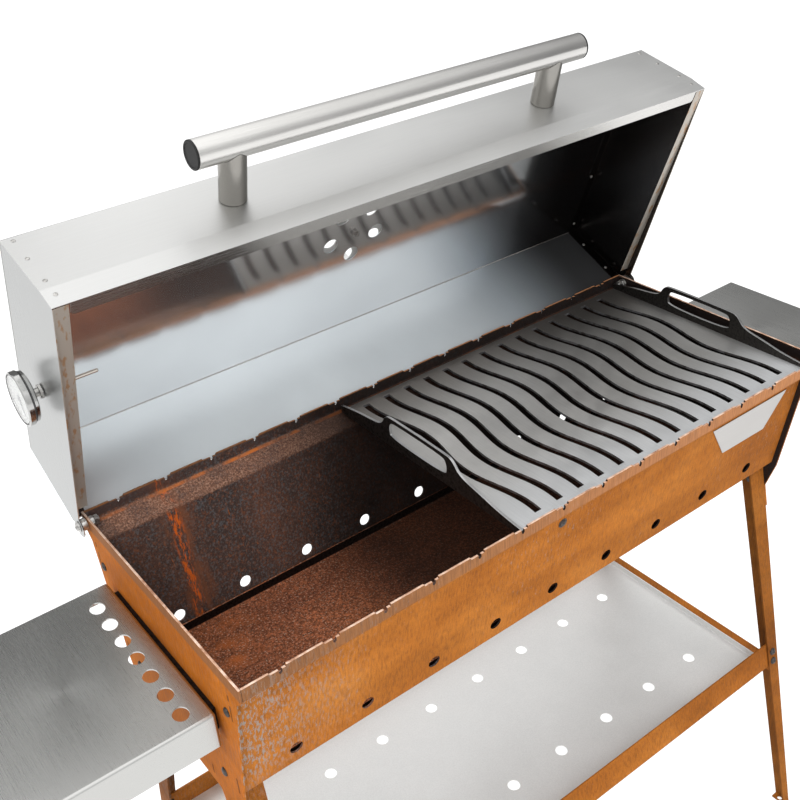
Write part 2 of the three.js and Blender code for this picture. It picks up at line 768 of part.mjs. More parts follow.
function addTrough(parent) {
  piece('front_wall', frontWall(), 'corten', parent);
  piece('back_wall', otherSide(frontWall()), 'corten', parent);
  piece('left_end_plate', endPlate(), 'corten', parent);
  piece('right_end_plate', otherEnd(endPlate()), 'corten', parent);
  piece('ember_tray', emberTray(), 'corten_dark', parent);
  piece('badge_plate', badgePlate(), 'badge', parent);
  piece('grate', grate(), 'grate', parent);
}

function addStand(parent) {
  const corners = [
    ['front_left', (solid) => solid],
    ['front_right', (solid) => otherEnd(solid)],
    ['back_left', (solid) => otherSide(solid)],
    ['back_right', (solid) => otherEnd(otherSide(solid))],
  ];
  for (const [where, place] of corners) {
    piece(`leg_${where}`, place(leg()), 'corten', parent);
    piece(`leg_bolt_${where}`, place(legBolt()), 'zinc', parent);
    piece(`rail_bolt_upper_${where}`, place(railBolt(RAIL_BOLT_Z[0])), 'zinc', parent);
    piece(`rail_bolt_lower_${where}`, place(railBolt(RAIL_BOLT_Z[1])), 'zinc', parent);
  }
  piece('rail_front', longRail(), 'corten', parent);
  piece('rail_back', otherSide(longRail()), 'corten', parent);
  piece('rail_left', sideRail(), 'corten', parent);
  piece('rail_right', otherEnd(sideRail()), 'corten', parent);
  piece('shelf_plate', shelfPlate(), 'shelf', parent);
}

function addTables(parent) {
  piece('table_left', sideTable(), 'stainless', parent);
  piece('table_right', otherEnd(sideTable()), 'stainless', parent);
  piece('table_bracket_left', tableBracket(), 'cap', parent);
  piece('table_bracket_right', otherEnd(tableBracket()), 'cap', parent);
}

function addHinges(parent) {
  piece('hinge_bolt_left', hingeBolt(), 'zinc', parent);
  piece('hinge_bolt_right', otherEnd(hingeBolt()), 'zinc', parent);
  piece('hinge_nut_left', hingeNut(), 'zinc', parent);
  piece('hinge_nut_right', otherEnd(hingeNut()), 'zinc', parent);
  piece('hinge_spacer_left', hingeSpacer(), 'zinc', parent);
  piece('hinge_spacer_right', otherEnd(hingeSpacer()), 'zinc', parent);
}

function addLid(parent) {
  piece('lid_skin', lidSkin(), 'stainless', parent);
  piece('lid_left_end', lidLeftEnd(), 'stainless', parent);
  piece('lid_right_end', otherEnd(lidEnd()), 'stainless', parent);
  piece('handle_tube', handleTube(), 'tube', parent);
  piece('handle_post_left', handlePost(POST_X[0]), 'tube', parent);
  piece('handle_post_right', handlePost(POST_X[1]), 'tube', parent);
  piece('handle_cap_left', handleCap(HANDLE_ENDS[0], 1), 'cap', parent);
  piece('handle_cap_right', handleCap(HANDLE_ENDS[1], -1), 'cap', parent);
  piece('damper_disc', damperDisc(), 'stainless', parent);
  piece('damper_screw', damperScrew(), 'zinc', parent);
  piece('gauge_case', gaugeCase(), 'dial', parent);
  piece('gauge_stem', gaugeStem(), 'zinc', parent);
  piece('gauge_probe', gaugeProbe(), 'zinc', parent);
  piece('gauge_glass', gaugeGlass(), 'glass', parent);
  piece('gauge_needle', gaugeNeedle(), 'needle', parent);
}

function smokerGrill() {
  const root = new THREE.Group();
  root.name = 'smoker_grill';
  root.position.set(...SHIFT);
  addTrough(root);
  addStand(root);
  addTables(root);
  addHinges(root);
  const hinge = new THREE.Group();
  hinge.name = 'lid_turned_open';
  hinge.position.set(0, HINGE_Y, HINGE_Z);
  hinge.rotation.x = -LID_OPEN;
  const lid = new THREE.Group();
  lid.name = 'lid_closed_frame';
  lid.position.set(0, -HINGE_Y, -HINGE_Z);
  hinge.add(lid);
  root.add(hinge);
  addLid(lid);
  return root;
}

export default smokerGrill();
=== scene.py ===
"""Looks of a long charcoal smoker grill in weathering steel with an open stainless lid.

Lengths are millimetres in the grill's own frame: X from the trough's left end, Y from its
front edge, Z from its top edge. at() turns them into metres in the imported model's frame.
"""

import json
import math

import bmesh
import bpy
from mathutils import Matrix, Vector


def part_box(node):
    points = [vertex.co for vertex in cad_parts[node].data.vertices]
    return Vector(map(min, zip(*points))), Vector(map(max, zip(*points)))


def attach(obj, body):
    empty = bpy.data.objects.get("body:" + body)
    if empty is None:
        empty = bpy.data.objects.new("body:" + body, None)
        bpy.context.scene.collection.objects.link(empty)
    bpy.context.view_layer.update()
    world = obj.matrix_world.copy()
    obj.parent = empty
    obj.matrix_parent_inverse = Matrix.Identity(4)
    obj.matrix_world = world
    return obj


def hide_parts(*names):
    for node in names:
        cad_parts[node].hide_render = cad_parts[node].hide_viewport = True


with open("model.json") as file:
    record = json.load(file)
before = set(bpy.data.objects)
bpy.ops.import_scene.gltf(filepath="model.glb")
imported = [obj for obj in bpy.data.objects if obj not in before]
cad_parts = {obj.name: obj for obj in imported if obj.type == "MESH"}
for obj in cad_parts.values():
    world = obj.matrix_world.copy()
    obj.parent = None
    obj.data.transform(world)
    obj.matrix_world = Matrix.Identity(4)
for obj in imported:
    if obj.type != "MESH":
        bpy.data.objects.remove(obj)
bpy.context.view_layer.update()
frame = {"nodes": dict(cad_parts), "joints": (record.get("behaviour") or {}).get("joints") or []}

MM = 0.001
JOINTS = {joint["name"]: joint for joint in frame["joints"]}
PLATE_LOW, PLATE_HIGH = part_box("left_end_plate")
ORIGIN = Vector((PLATE_LOW.x, PLATE_LOW.y, PLATE_HIGH.z))
LENGTH = (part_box("right_end_plate")[1].x - PLATE_LOW.x) / MM
DEPTH = (PLATE_HIGH.y - PLATE_LOW.y) / MM


def at(x, y, z):
    """A point of the grill's own frame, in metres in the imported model's frame."""
    return ORIGIN + Vector((x, y, z)) * MM


def mm_box(node):
    """A CAD node's lowest and highest corners in the grill's own frame."""
    return [tuple((corner - ORIGIN) / MM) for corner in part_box(node)]


LID_JOINT = JOINTS["lid_hinge"]
HINGE = Vector(LID_JOINT["pos_m"])
HINGE_Y = (HINGE.y - ORIGIN.y) / MM
HINGE_Z = (HINGE.z - ORIGIN.z) / MM
LID_OPEN = math.radians(max(LID_JOINT["range_deg"]))
LID = Matrix.Translation(HINGE) @ Matrix.Rotation(-LID_OPEN, 4, "X") @ Matrix.Translation(-HINGE)

# Sheets and bends
SHEET = 3.0
THIN = 2.0
GAP = 0.3
BEND = 4.0
FINE_BEND = 2.2

# Trough
LIP_DROP = 19
LEDGE = (26, -36)
WALL_FOOT = (55.7, -220)
WALL_FLANGE = 24
AIR_HOLES = 9
AIR_FIRST = 78.8
AIR_Z = -190
AIR_RADIUS = 9
NOTCHES = 14
NOTCH_FIRST = 48
NOTCH_PITCH = 69.3
NOTCH_WIDTH = 22
NOTCH_DEPTH = 2.4
SKEWER_WIDTH = 4.5
SKEWER_DEPTH = 8
SKEWER_OFFSET = 3
TRAY_SHEET = 2.5
PLATE_SCREWS = ((41.6, -64.5), (88, -205))
MIDDLE_SCREW = (495, -61)

# Lid, described closed
LID_SIDE = -10.4
LID_SHEET = 1.5
LID_TOP = 133.5
LID_MOUTH = 0.6
LID_FRONT_TOP = 21.4
LID_FRONT_FOOT = (9.2, 29.7)
LID_REAR_TOP = 385.8
LID_REAR_FOOT = (396.5, 6)
MOUTH_FLANGE = 18
VENT_CENTRE = (491, 195.5)
VENT_RING = 41.5
VENT_RADIUS = 12
VENT_COUNT = 5
VENT_START = math.radians(18)
DAMPER_TURN = math.radians(12)
DAMPER_RADIUS = 64
GAUGE_Y = 195.5
GAUGE_Z = 59.7
GAUGE_RADIUS = 34

# Handle
HANDLE_ENDS = (200, 800)
HANDLE_RADIUS = 17.5
HANDLE_WALL = 2.0
HANDLE_STANDOFF = 73
POST_X = (250, 750)
POST_Z = 80
POST_RADIUS = 17

# Grate
GRATE_X = (402, 981)
GRATE_SHEET = 4
SLOTS = 14
SLOT_FIRST = 443.7
SLOT_PITCH = 37.8
SLOT_WIDTH = 11
SLOT_Y = (28, 382)
SLOT_WAVE = 7.5
SLOT_WAVELENGTH = 208
SLOT_CREST = 260
LOOP_Y = (145, 279)

# Legs and rails
LEG_LEAN = 0.221
LEG_ORIGIN = 121.2
RAIL_Z = (-568, -618)
RAIL_FLANGE = 32
RAIL_BOLT_X = 16.4
RAIL_BOLT_Z = (-585, -603.6)
LEG_BOLT = (86, -264)
SHANK = 3.8
SCREW_HEAD = [(0, 0), (0, 6.5), (0.8, 6.5), (1.1, 5.8), (2.6, 4.9), (3.6, 2.6), (3.6, 1.5), (2.4, 1.5), (2.4, 0)]

# Side tables and shelf
TOOL_HOLES = 7
TOOL_HOLE_X = -37
TOOL_HOLE_ENDS = (83, 305.4)
TOOL_HOLE_SIZE = (19, 23)
TABLE_BACK_APRON = 26
TABLE_BEND = 4.0
SHELF_HOLES = 8
SHELF_HOLE_LAST = 886
SHELF_HOLE_PITCH = 105.8
SHELF_HOLE_ROWS = (93, 303)
SHELF_HOLE_RADIUS = 10

# Camera and studio
CAMERA_PLACE = (-0.79937, -0.96665, 1.74658)
CAMERA_TURN = (58.1656, 3.5479, -37.4925)
CAMERA_LENS = 48.239
SENSOR_WIDTH = 36
BACKDROP = 0.93
FLOOR_HALF = 14.0
FLOOR_DROP = 0.0005
FLAG_X = (-1.7, 0.22)
FLAG_Y = 2.0
FLAG_Z = (1.0, 3.32)


# ---------------------------------------------------------------- camera, light, floor

def add_camera():
    data = bpy.data.cameras.new("camera")
    data.lens = CAMERA_LENS
    data.sensor_width = SENSOR_WIDTH
    data.clip_start = 0.05
    data.dof.use_dof = False
    camera = bpy.data.objects.new("camera", data)
    camera.location = CAMERA_PLACE
    camera.rotation_euler = [math.radians(turn) for turn in CAMERA_TURN]
    bpy.context.scene.collection.objects.link(camera)
    bpy.context.scene.camera = camera


def add_area_light(name, place, target, size, power):
    """A soft light that stays out of reflections."""
    data = bpy.data.lights.new(name, "AREA")
    data.shape = "RECTANGLE"
    data.size, data.size_y = size
    data.energy = power
    light = bpy.data.objects.new(name, data)
    light.location = place
    direction = Vector(target) - Vector(place)
    light.rotation_euler = direction.to_track_quat("-Z", "Y").to_euler()
    light.visible_glossy = False
    bpy.context.scene.collection.objects.link(light)


def add_world():
    """A soft studio: bright overhead, dark towards the right; the camera sees a plain backdrop."""
    world = bpy.data.worlds.new("studio")
    world.use_nodes = True
    tree = world.node_tree
    tree.nodes.clear()
    add, join = tree.nodes.new, tree.links.new
    output = add("ShaderNodeOutputWorld")
    background = add("ShaderNodeBackground")
    split = add("ShaderNodeSeparateXYZ")
    join(add("ShaderNodeTexCoord").outputs["Generated"], split.inputs[0])
    height = add("ShaderNodeValToRGB")
    stops = [(0.0, 0.70), (0.42, 0.75), (0.5, 0.80), (0.60, 0.85), (0.75, 1.05), (0.86, 1.55), (1.0, 1.6)]
    set_ramp(height, [(place, (value,) * 3) for place, value in stops])
    shifted = add("ShaderNodeMath")
    shifted.operation = "MULTIPLY_ADD"
    shifted.inputs[1].default_value = 0.5
    shifted.inputs[2].default_value = 0.5
    join(split.outputs["Z"], shifted.inputs[0])
    join(shifted.outputs[0], height.inputs[0])
    side = add("ShaderNodeMapRange")
    for name, value in (("From Min", 0.30), ("From Max", 0.85), ("To Min", 1.0), ("To Max", 0.16)):
        side.inputs[name].default_value = value
    side.interpolation_type = "SMOOTHSTEP"
    join(split.outputs["X"], side.inputs["Value"])
    shade = add("ShaderNodeMix")
    shade.data_type = "RGBA"
    shade.blend_type = "MULTIPLY"
    shade.inputs["Factor"].default_value = 1.0
    join(height.outputs["Color"], shade.inputs[6])
    join(side.outputs["Result"], shade.inputs[7])
    join(shade.outputs[2], background.inputs["Color"])
    backdrop = add("ShaderNodeBackground")
    backdrop.inputs["Color"].default_value = (BACKDROP, BACKDROP, BACKDROP, 1.0)
    chosen = add("ShaderNodeMixShader")
    join(add("ShaderNodeLightPath").outputs["Is Camera Ray"], chosen.inputs[0])
    join(background.outputs[0], chosen.inputs[1])
    join(backdrop.outputs[0], chosen.inputs[2])
    join(chosen.outputs[0], output.inputs["Surface"])
    bpy.context.scene.world = world


def add_studio():
    add_world()
    add_area_light("key", (-1.6, -1.9, 3.0), (0, 0, 0.8), (2.4, 1.6), 70)
    add_area_light("fill", (1.8, -2.4, 1.6), (0, 0, 0.6), (2.0, 2.0), 8)
    add_area_light("overhead", (0.0, 0.6, 3.4), (0, 0, 0.6), (3.0, 2.2), 60)
    mesh = bpy.data.meshes.new("floor")
    corners = [(x * FLOOR_HALF, y * FLOOR_HALF, -FLOOR_DROP) for x, y in ((-1, -1), (1, -1), (1, 1), (-1, 1))]
    mesh.from_pydata(corners, [], [(0, 1, 2, 3)])
    floor = bpy.data.objects.new("floor", mesh)
    bpy.context.scene.collection.objects.link(floor)
    paint = Shader("floor_paper")
    paint.set(roughness=0.9, specular=0.1)
    grain = paint.noise(3, detail=2)
    paint.color(paint.ramp(grain, [(0.3, (0.20, 0.20, 0.20)), (0.7, (0.22, 0.22, 0.22))]))
    paint.bsdf.inputs["Emission Color"].default_value = (1, 1, 1, 1)
    paint.bsdf.inputs["Emission Strength"].default_value = 0.92
    mesh.materials.append(paint.material)
    (x0, x1), (z0, z1) = FLAG_X, FLAG_Z
    add_flag("dark_flag", [(x0, FLAG_Y, z0), (x1, FLAG_Y, z0), (x1, FLAG_Y, z1), (x0, FLAG_Y, z1)])


def add_flag(name, corners):
    """A dark studio card that only shows as a reflection."""
    mesh = bpy.data.meshes.new(name)
    mesh.from_pydata(corners, [], [(0, 1, 2, 3)])
    card = bpy.data.objects.new(name, mesh)
    bpy.context.scene.collection.objects.link(card)
    paint = Shader(name)
    paint.set(roughness=1.0, specular=0.0)
    paint.color(paint.ramp(paint.noise(2), [(0.3, 0.10), (0.7, 0.14)]))
    mesh.materials.append(paint.material)
    card.visible_camera = False
    card.visible_shadow = False
    card.visible_diffuse = False


# ---------------------------------------------------------------- materials

def set_ramp(node, stops):
    ramp = node.color_ramp
    while len(ramp.elements) < len(stops):
        ramp.elements.new(0.5)
    for element, (place, color) in zip(ramp.elements, stops):
        element.position = place
        element.color = (*color, 1.0)


class Shader:
    """A Principled material with short calls for the textures that feed it."""

    def __init__(self, name):
        self.material = bpy.data.materials.new(name)
        self.material.use_nodes = True
        self.tree = self.material.node_tree
        self.tree.nodes.clear()
        output = self.tree.nodes.new("ShaderNodeOutputMaterial")
        self.bsdf = self.tree.nodes.new("ShaderNodeBsdfPrincipled")
        self.link(self.bsdf.outputs[0], output.inputs["Surface"])
        self.coords = self.tree.nodes.new("ShaderNodeTexCoord").outputs["Object"]

    def link(self, source, target):
        self.tree.links.new(source, target)

    def feed(self, value, socket):
        """Gives a socket a number, a colour or another node's output."""
        if isinstance(value, (int, float)):
            socket.default_value = value
        elif isinstance(value, tuple):
            socket.default_value = (*value, 1.0)
        else:
            self.link(value, socket)

    def set(self, metallic=0.0, roughness=0.5, specular=0.5, anisotropy=0.0, color=None):
        self.bsdf.inputs["Metallic"].default_value = metallic
        self.bsdf.inputs["Roughness"].default_value = roughness
        self.bsdf.inputs["Specular IOR Level"].default_value = specular
        self.bsdf.inputs["Anisotropic"].default_value = anisotropy
        if color is not None:
            self.bsdf.inputs["Base Color"].default_value = (*color, 1.0)

    def color(self, socket):
        self.link(socket, self.bsdf.inputs["Base Color"])

    def roughness(self, socket):
        self.link(socket, self.bsdf.inputs["Roughness"])

    def stretched(self, scale, offset):
        """Object coordinates times a scale, which is one number or one for each axis."""
        mapping = self.tree.nodes.new("ShaderNodeMapping")
        mapping.inputs["Scale"].default_value = scale if isinstance(scale, tuple) else (scale,) * 3
        mapping.inputs["Location"].default_value = offset
        self.link(self.coords, mapping.inputs["Vector"])
        return mapping.outputs[0]

    def noise(self, scale, detail=4.0, rough=0.55, distortion=0.0, offset=(0, 0, 0)):
        node = self.tree.nodes.new("ShaderNodeTexNoise")
        node.inputs["Scale"].default_value = 1.0
        node.inputs["Detail"].default_value = detail
        node.inputs["Roughness"].default_value = rough
        node.inputs["Distortion"].default_value = distortion
        self.link(self.stretched(scale, offset), node.inputs["Vector"])
        return node.outputs["Fac"]

    def ramp(self, factor, stops):
        node = self.tree.nodes.new("ShaderNodeValToRGB")
        stops = [(place, (value,) * 3 if isinstance(value, (int, float)) else value) for place, value in stops]
        set_ramp(node, stops)
        self.link(factor, node.inputs[0])
        return node.outputs["Color"]

    def mix(self, factor, first, second, blend="MIX"):
        node = self.tree.nodes.new("ShaderNodeMix")
        node.data_type = "RGBA"
        node.blend_type = blend
        for value, number in ((factor, 0), (first, 6), (second, 7)):
            self.feed(value, node.inputs[number])
        return node.outputs[2]

    def shade(self, share, base, factor, stops):
        """The base darkened or lightened by a ramp."""
        return self.mix(share, base, self.ramp(factor, stops), "MULTIPLY")

    def band(self, axis, start, end):
        """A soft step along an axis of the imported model's frame, in metres."""
        split = self.tree.nodes.new("ShaderNodeSeparateXYZ")
        self.link(self.coords, split.inputs[0])
        node = self.tree.nodes.new("ShaderNodeMapRange")
        node.interpolation_type = "SMOOTHSTEP"
        node.inputs["From Min"].default_value = start
        node.inputs["From Max"].default_value = end
        self.link(split.outputs[axis], node.inputs["Value"])
        return node.outputs["Result"]

    def times(self, first, second):
        node = self.tree.nodes.new("ShaderNodeMath")
        node.operation = "MULTIPLY"
        self.feed(first, node.inputs[0])
        self.feed(second, node.inputs[1])
        return node.outputs[0]

    def bump(self, height, distance, strength):
        node = self.tree.nodes.new("ShaderNodeBump")
        node.inputs["Strength"].default_value = strength
        node.inputs["Distance"].default_value = distance
        self.link(height, node.inputs["Height"])
        self.link(node.outputs[0], self.bsdf.inputs["Normal"])


def rust_outside(name="rust_outside", bright=1.0):
    """Weathered orange patina with fine upright grain, blue-grey scale and browner top lip; a bright below 1 darkens
    the whole copy as painted shade.
    """
    paint = Shader(name)
    paint.set(metallic=0.0, roughness=0.85, specular=0.12)
    clouds = paint.noise((5, 5, 7), detail=5, rough=0.6)
    tones = [(0.30, (0.28, 0.086, 0.011)), (0.47, (0.37, 0.120, 0.016)),
             (0.60, (0.45, 0.155, 0.023)), (0.75, (0.49, 0.185, 0.036))]
    # A bright below 1 is painted shade: the same rust, darker all over.
    tones = [(place, tuple(c * bright for c in tone)) for place, tone in tones]
    base = paint.ramp(clouds, tones)
    grain = paint.noise((420, 420, 34), detail=3, rough=0.6)
    base = paint.shade(0.55, base, grain, [(0.32, 0.45), (0.52, 0.98), (0.72, 1.25)])
    specks = paint.noise(900, detail=2)
    base = paint.shade(0.35, base, specks, [(0.36, 0.55), (0.55, 1.0), (0.7, 1.25)])
    patches = paint.noise((330, 330, 85), detail=4, rough=0.7, offset=(3, 1, 0))
    zones = paint.noise((7, 7, 4), detail=2, offset=(11, 4, 2))
    corner = paint.band("X", -0.28, -0.50)
    spread = paint.mix(corner, paint.ramp(zones, [(0.40, 0.0), (0.70, 0.75)]), (1.0, 1.0, 1.0))
    few = paint.ramp(patches, [(0.60, 0.0), (0.68, 0.9)])
    many = paint.ramp(patches, [(0.51, 0.0), (0.55, 0.95)])
    scale_mask = paint.times(paint.mix(paint.times(corner, 0.8), few, many), spread)
    off_plate = paint.ramp(paint.band("X", -0.4994, -0.4984), [(0.0, 0.12), (1.0, 1.0)])
    scale_mask = paint.times(scale_mask, off_plate)
    scale_mask = paint.times(scale_mask, paint.ramp(paint.band("Z", 0.70, 0.76), [(0.0, 0.2), (1.0, 1.0)]))
    rows = paint.noise((2.2, 2.2, 16), detail=4, rough=0.6, offset=(0, 5, 3))
    base = paint.shade(0.45, base, rows, [(0.35, 0.66), (0.55, 1.0), (0.7, 1.12)])
    base = paint.mix(off_plate, paint.mix(1.0, base, (1.20, 1.02, 0.42), "MULTIPLY"), base)
    base = paint.mix(scale_mask, base, (0.27, 0.265, 0.25))
    lip = paint.band("Z", 0.9050, 0.9100)
    lip_tone = paint.mix(paint.band("X", -0.45, 0.35), (0.185, 0.095, 0.050), (0.42, 0.20, 0.10))
    lip_tone = paint.mix(0.6, lip_tone, paint.ramp(grain, [(0.32, 0.6), (0.7, 1.3)]), "MULTIPLY")
    base = paint.mix(paint.times(lip, 0.7), base, lip_tone)
    paint.color(base)
    paint.roughness(paint.ramp(grain, [(0.3, 0.68), (0.7, 0.88)]))
    height = paint.mix(0.5, grain, specks)
    paint.bump(height, 0.0007, 0.55)
    return paint.material


def char_and_painted_shade(paint):
    """Soot and painted shade of the lid and grate, both thickening towards the part of the trough under the grate.
    """
    return paint.ramp(paint.band("X", -0.29, -0.09), [(0.0, 1.0), (1.0, 0.16)])


def rust_inside():
    """Heat-darkened brown and grey scale with orange runs."""
    paint = Shader("rust_inside")
    paint.set(metallic=0.12, roughness=0.62, specular=0.28)
    clouds = paint.noise((9, 9, 6), detail=6, rough=0.65)
    base = paint.ramp(clouds, [(0.30, (0.036, 0.028, 0.026)), (0.50, (0.064, 0.037, 0.029)),
                               (0.66, (0.098, 0.047, 0.032)), (0.82, (0.15, 0.062, 0.034))])
    specks = paint.noise(420, detail=3, rough=0.7)
    rusty = paint.noise((260, 260, 200), detail=3, rough=0.7, offset=(8, 1, 4))
    base = paint.mix(paint.ramp(rusty, [(0.52, 0.0), (0.64, 0.75)]), base, (0.17, 0.060, 0.028))
    base = paint.shade(0.7, base, specks, [(0.34, 0.35), (0.52, 1.0), (0.68, 1.9)])
    ash = paint.noise((320, 320, 260), detail=2, offset=(5, 2, 9))
    base = paint.mix(paint.ramp(ash, [(0.50, 0.0), (0.66, 0.5)]), base, (0.115, 0.125, 0.135))
    runs = paint.noise((75, 75, 2.6), detail=5, rough=0.65, distortion=0.25, offset=(1, 7, 0))
    thin = paint.ramp(runs, [(0.655, 0.0), (0.70, 0.8)])
    thin = paint.times(thin, paint.ramp(specks, [(0.4, 0.3), (0.6, 1.0)]))
    base = paint.mix(thin, base, (0.40, 0.115, 0.022))
    stain = paint.times(paint.band("X", -0.425, -0.398), paint.band("X", -0.352, -0.376))
    blots = paint.noise((60, 60, 10), detail=5, rough=0.7)
    stain = paint.times(stain, paint.ramp(blots, [(0.42, 0.0), (0.60, 0.8)]))
    base = paint.mix(stain, base, (0.16, 0.058, 0.027))
    near = paint.times(paint.band("X", -0.402, -0.395), paint.band("X", -0.378, -0.386))
    licks = paint.noise((170, 170, 26), detail=5, rough=0.75)
    flame = paint.times(near, paint.ramp(licks, [(0.49, 0.0), (0.58, 1.0)]))
    base = paint.mix(flame, base, (0.52, 0.100, 0.010))
    fold = paint.times(paint.band("Z", 0.9040, 0.9052), paint.band("Z", 0.9078, 0.9066))
    breaks = paint.noise(22, detail=4, offset=(2, 2, 2))
    fold = paint.times(fold, paint.ramp(breaks, [(0.46, 0.0), (0.60, 0.85)]))
    ledge = paint.times(paint.band("Z", 0.886, 0.889), paint.band("Z", 0.9095, 0.9055))
    ledge = paint.times(ledge, paint.ramp(paint.noise(40, detail=5), [(0.35, 0.35), (0.6, 0.9)]))
    worn = paint.ramp(specks, [(0.34, (0.060, 0.028, 0.018)), (0.50, (0.175, 0.078, 0.045)),
                               (0.64, (0.34, 0.20, 0.14))])
    base = paint.mix(ledge, base, worn)
    base = paint.mix(fold, base, (0.50, 0.13, 0.014))
    rim = paint.times(paint.band("Z", 0.9105, 0.912), paint.ramp(clouds, [(0.4, 0.1), (0.6, 0.8)]))
    base = paint.mix(rim, base, (0.045, 0.030, 0.028))
    top_edge = paint.times(paint.band("Z", 0.9225, 0.9245), paint.ramp(clouds, [(0.4, 0.3), (0.6, 0.9)]))
    base = paint.mix(top_edge, base, (0.30, 0.11, 0.03))
    # Soot and painted shade, darker towards the grate end.
    base = paint.mix(1.0, base, char_and_painted_shade(paint), "MULTIPLY")
    paint.color(base)
    paint.roughness(paint.ramp(specks, [(0.35, 0.45), (0.65, 0.8)]))
    paint.bump(specks, 0.0008, 0.6)
    return paint.material


def ember_floor():
    """Coarse red-brown grains on the trough's floor, brighter orange by the front edge."""
    paint = Shader("ember_floor")
    paint.set(metallic=0.08, roughness=0.75, specular=0.26)
    clouds = paint.noise((7, 9, 5), detail=5, rough=0.6)
    base = paint.ramp(clouds, [(0.30, (0.120, 0.038, 0.018)), (0.5, (0.175, 0.056, 0.024)),
                               (0.72, (0.25, 0.078, 0.030))])
    grains = paint.noise(330, detail=3, rough=0.75)
    base = paint.shade(0.9, base, grains, [(0.36, 0.3), (0.52, 1.0), (0.66, 2.4)])
    glow = paint.times(paint.ramp(paint.noise((13, 20, 5), detail=4, offset=(2, 0, 0)), [(0.52, 0.0), (0.66, 1.0)]),
                       paint.band("X", -0.30, -0.42))
    base = paint.mix(paint.times(glow, 0.7), base, (0.42, 0.11, 0.022))
    pale = paint.noise(380, detail=1, offset=(9, 3, 1))
    base = paint.mix(paint.ramp(pale, [(0.60, 0.0), (0.68, 0.6)]), base, (0.42, 0.29, 0.22))
    # Soot and painted shade, darker towards the grate end.
    base = paint.mix(1.0, base, char_and_painted_shade(paint), "MULTIPLY")
    paint.color(base)
    paint.bump(grains, 0.0012, 0.7)
    return paint.material


def bare_edge():
    """Laser-cut edge of the thick sheets, bright with a rose tint."""
    paint = Shader("bare_edge")
    paint.set(metallic=0.25, roughness=0.5, specular=0.4)
    wear = paint.noise(55, detail=4, rough=0.65)
    paint.color(paint.ramp(wear, [(0.34, (0.22, 0.10, 0.055)), (0.46, (0.40, 0.23, 0.15)),
                                  (0.62, (0.58, 0.43, 0.34))]))
    paint.bump(paint.noise(700, detail=2), 0.0004, 0.4)
    return paint.material


def brushed(name, tone, roughness, along, contrast, warm=0.0, metallic=1.0):
    """Stainless sheet, brushed along one axis, with faint handling marks."""
    paint = Shader(name)
    paint.set(metallic=metallic, roughness=roughness, anisotropy=0.35)
    fine = 2200
    long = 16
    scale = {"X": (long, fine, fine), "Y": (fine, long, fine), "Z": (fine, fine, long)}[along]
    lines = paint.noise(scale, detail=3, rough=0.7)
    clouds = paint.noise(3.2, detail=3)
    lo = tuple(c * (1 - contrast) for c in tone)
    hi = tuple(min(1.0, c * (1 + contrast * 0.7)) for c in tone)
    base = paint.ramp(lines, [(0.3, lo), (0.7, hi)])
    base = paint.shade(0.25, base, clouds, [(0.35, 0.82), (0.65, 1.12)])
    if warm:
        spots = paint.noise((150, 150, 22), detail=4, offset=(4, 4, 4))
        base = paint.mix(paint.times(paint.ramp(spots, [(0.53, 0.0), (0.64, 1.0)]), warm), base, (0.40, 0.21, 0.085))
    paint.color(base)
    paint.roughness(paint.mix(0.5, paint.ramp(lines, [(0.3, roughness * 0.8), (0.7, roughness * 1.25)]),
                              paint.ramp(clouds, [(0.3, roughness * 0.85), (0.7, roughness * 1.2)])))
    paint.bump(lines, 0.00008, 0.5)
    return paint.material


def lid_inner(name, tone, roughness, metallic):
    """Smooth mill-finish sheet, hazed here and there, with a smoke stain and a painted darker reflection towards the
    grate end.
    """
    paint = Shader(name)
    paint.set(metallic=metallic, roughness=roughness)
    clouds = paint.noise(4, detail=3)
    haze = paint.noise(19, detail=4, offset=(3, 8, 1))
    base = paint.ramp(clouds, [(0.35, tuple(c * 0.93 for c in tone)), (0.65, tone)])
    base = paint.shade(0.10, base, haze, [(0.3, 0.85), (0.7, 1.1)])
    # Smoke stain and painted dark reflection, darkening the sheet towards the grate end.
    smoke_and_painted_reflection = paint.ramp(paint.band("X", 0.12, 0.44), [(0.0, (1.0, 1.0, 1.0)), (0.5, (0.62, 0.64, 0.66)),
                                                    (1.0, (0.07, 0.066, 0.065))])
    base = paint.mix(1.0, base, smoke_and_painted_reflection, "MULTIPLY")
    paint.color(base)
    paint.roughness(paint.ramp(clouds, [(0.3, roughness * 0.9), (0.7, roughness * 1.2)]))
    paint.bump(paint.noise(4, detail=1, offset=(1, 1, 6)), 0.003, 0.12)
    return paint.material


def grate_steel():
    """Satin grey plate, with painted shade that makes it darker and browner at the back and darker towards the right
    end, and a painted highlight that makes it lighter and bluer at the front.
    """
    paint = Shader("grate_steel")
    paint.set(metallic=0.75, roughness=0.5)
    clouds = paint.noise(8, detail=4)
    base = paint.ramp(clouds, [(0.3, (0.42, 0.41, 0.395)), (0.7, (0.54, 0.53, 0.51))])
    # Painted shade: darker and browner towards the back, darker towards the right end; painted highlight: lighter
    # and bluer towards the front.
    base = paint.mix(paint.band("Y", 0.04, 0.165), base, (0.20, 0.185, 0.17))
    base = paint.shade(1.0, base, paint.band("X", 0.15, 0.42), [(0.0, 1.0), (1.0, 0.55)])
    base = paint.mix(paint.times(paint.band("Y", -0.06, -0.20), 0.8), base, (0.60, 0.61, 0.62))
    lines = paint.noise((900, 12, 900), detail=3, rough=0.7)
    base = paint.shade(0.4, base, lines, [(0.3, 0.8), (0.7, 1.15)])
    paint.color(base)
    paint.roughness(paint.ramp(paint.noise(30, detail=3), [(0.3, 0.36), (0.7, 0.55)]))
    paint.bump(lines, 0.0001, 0.5)
    return paint.material


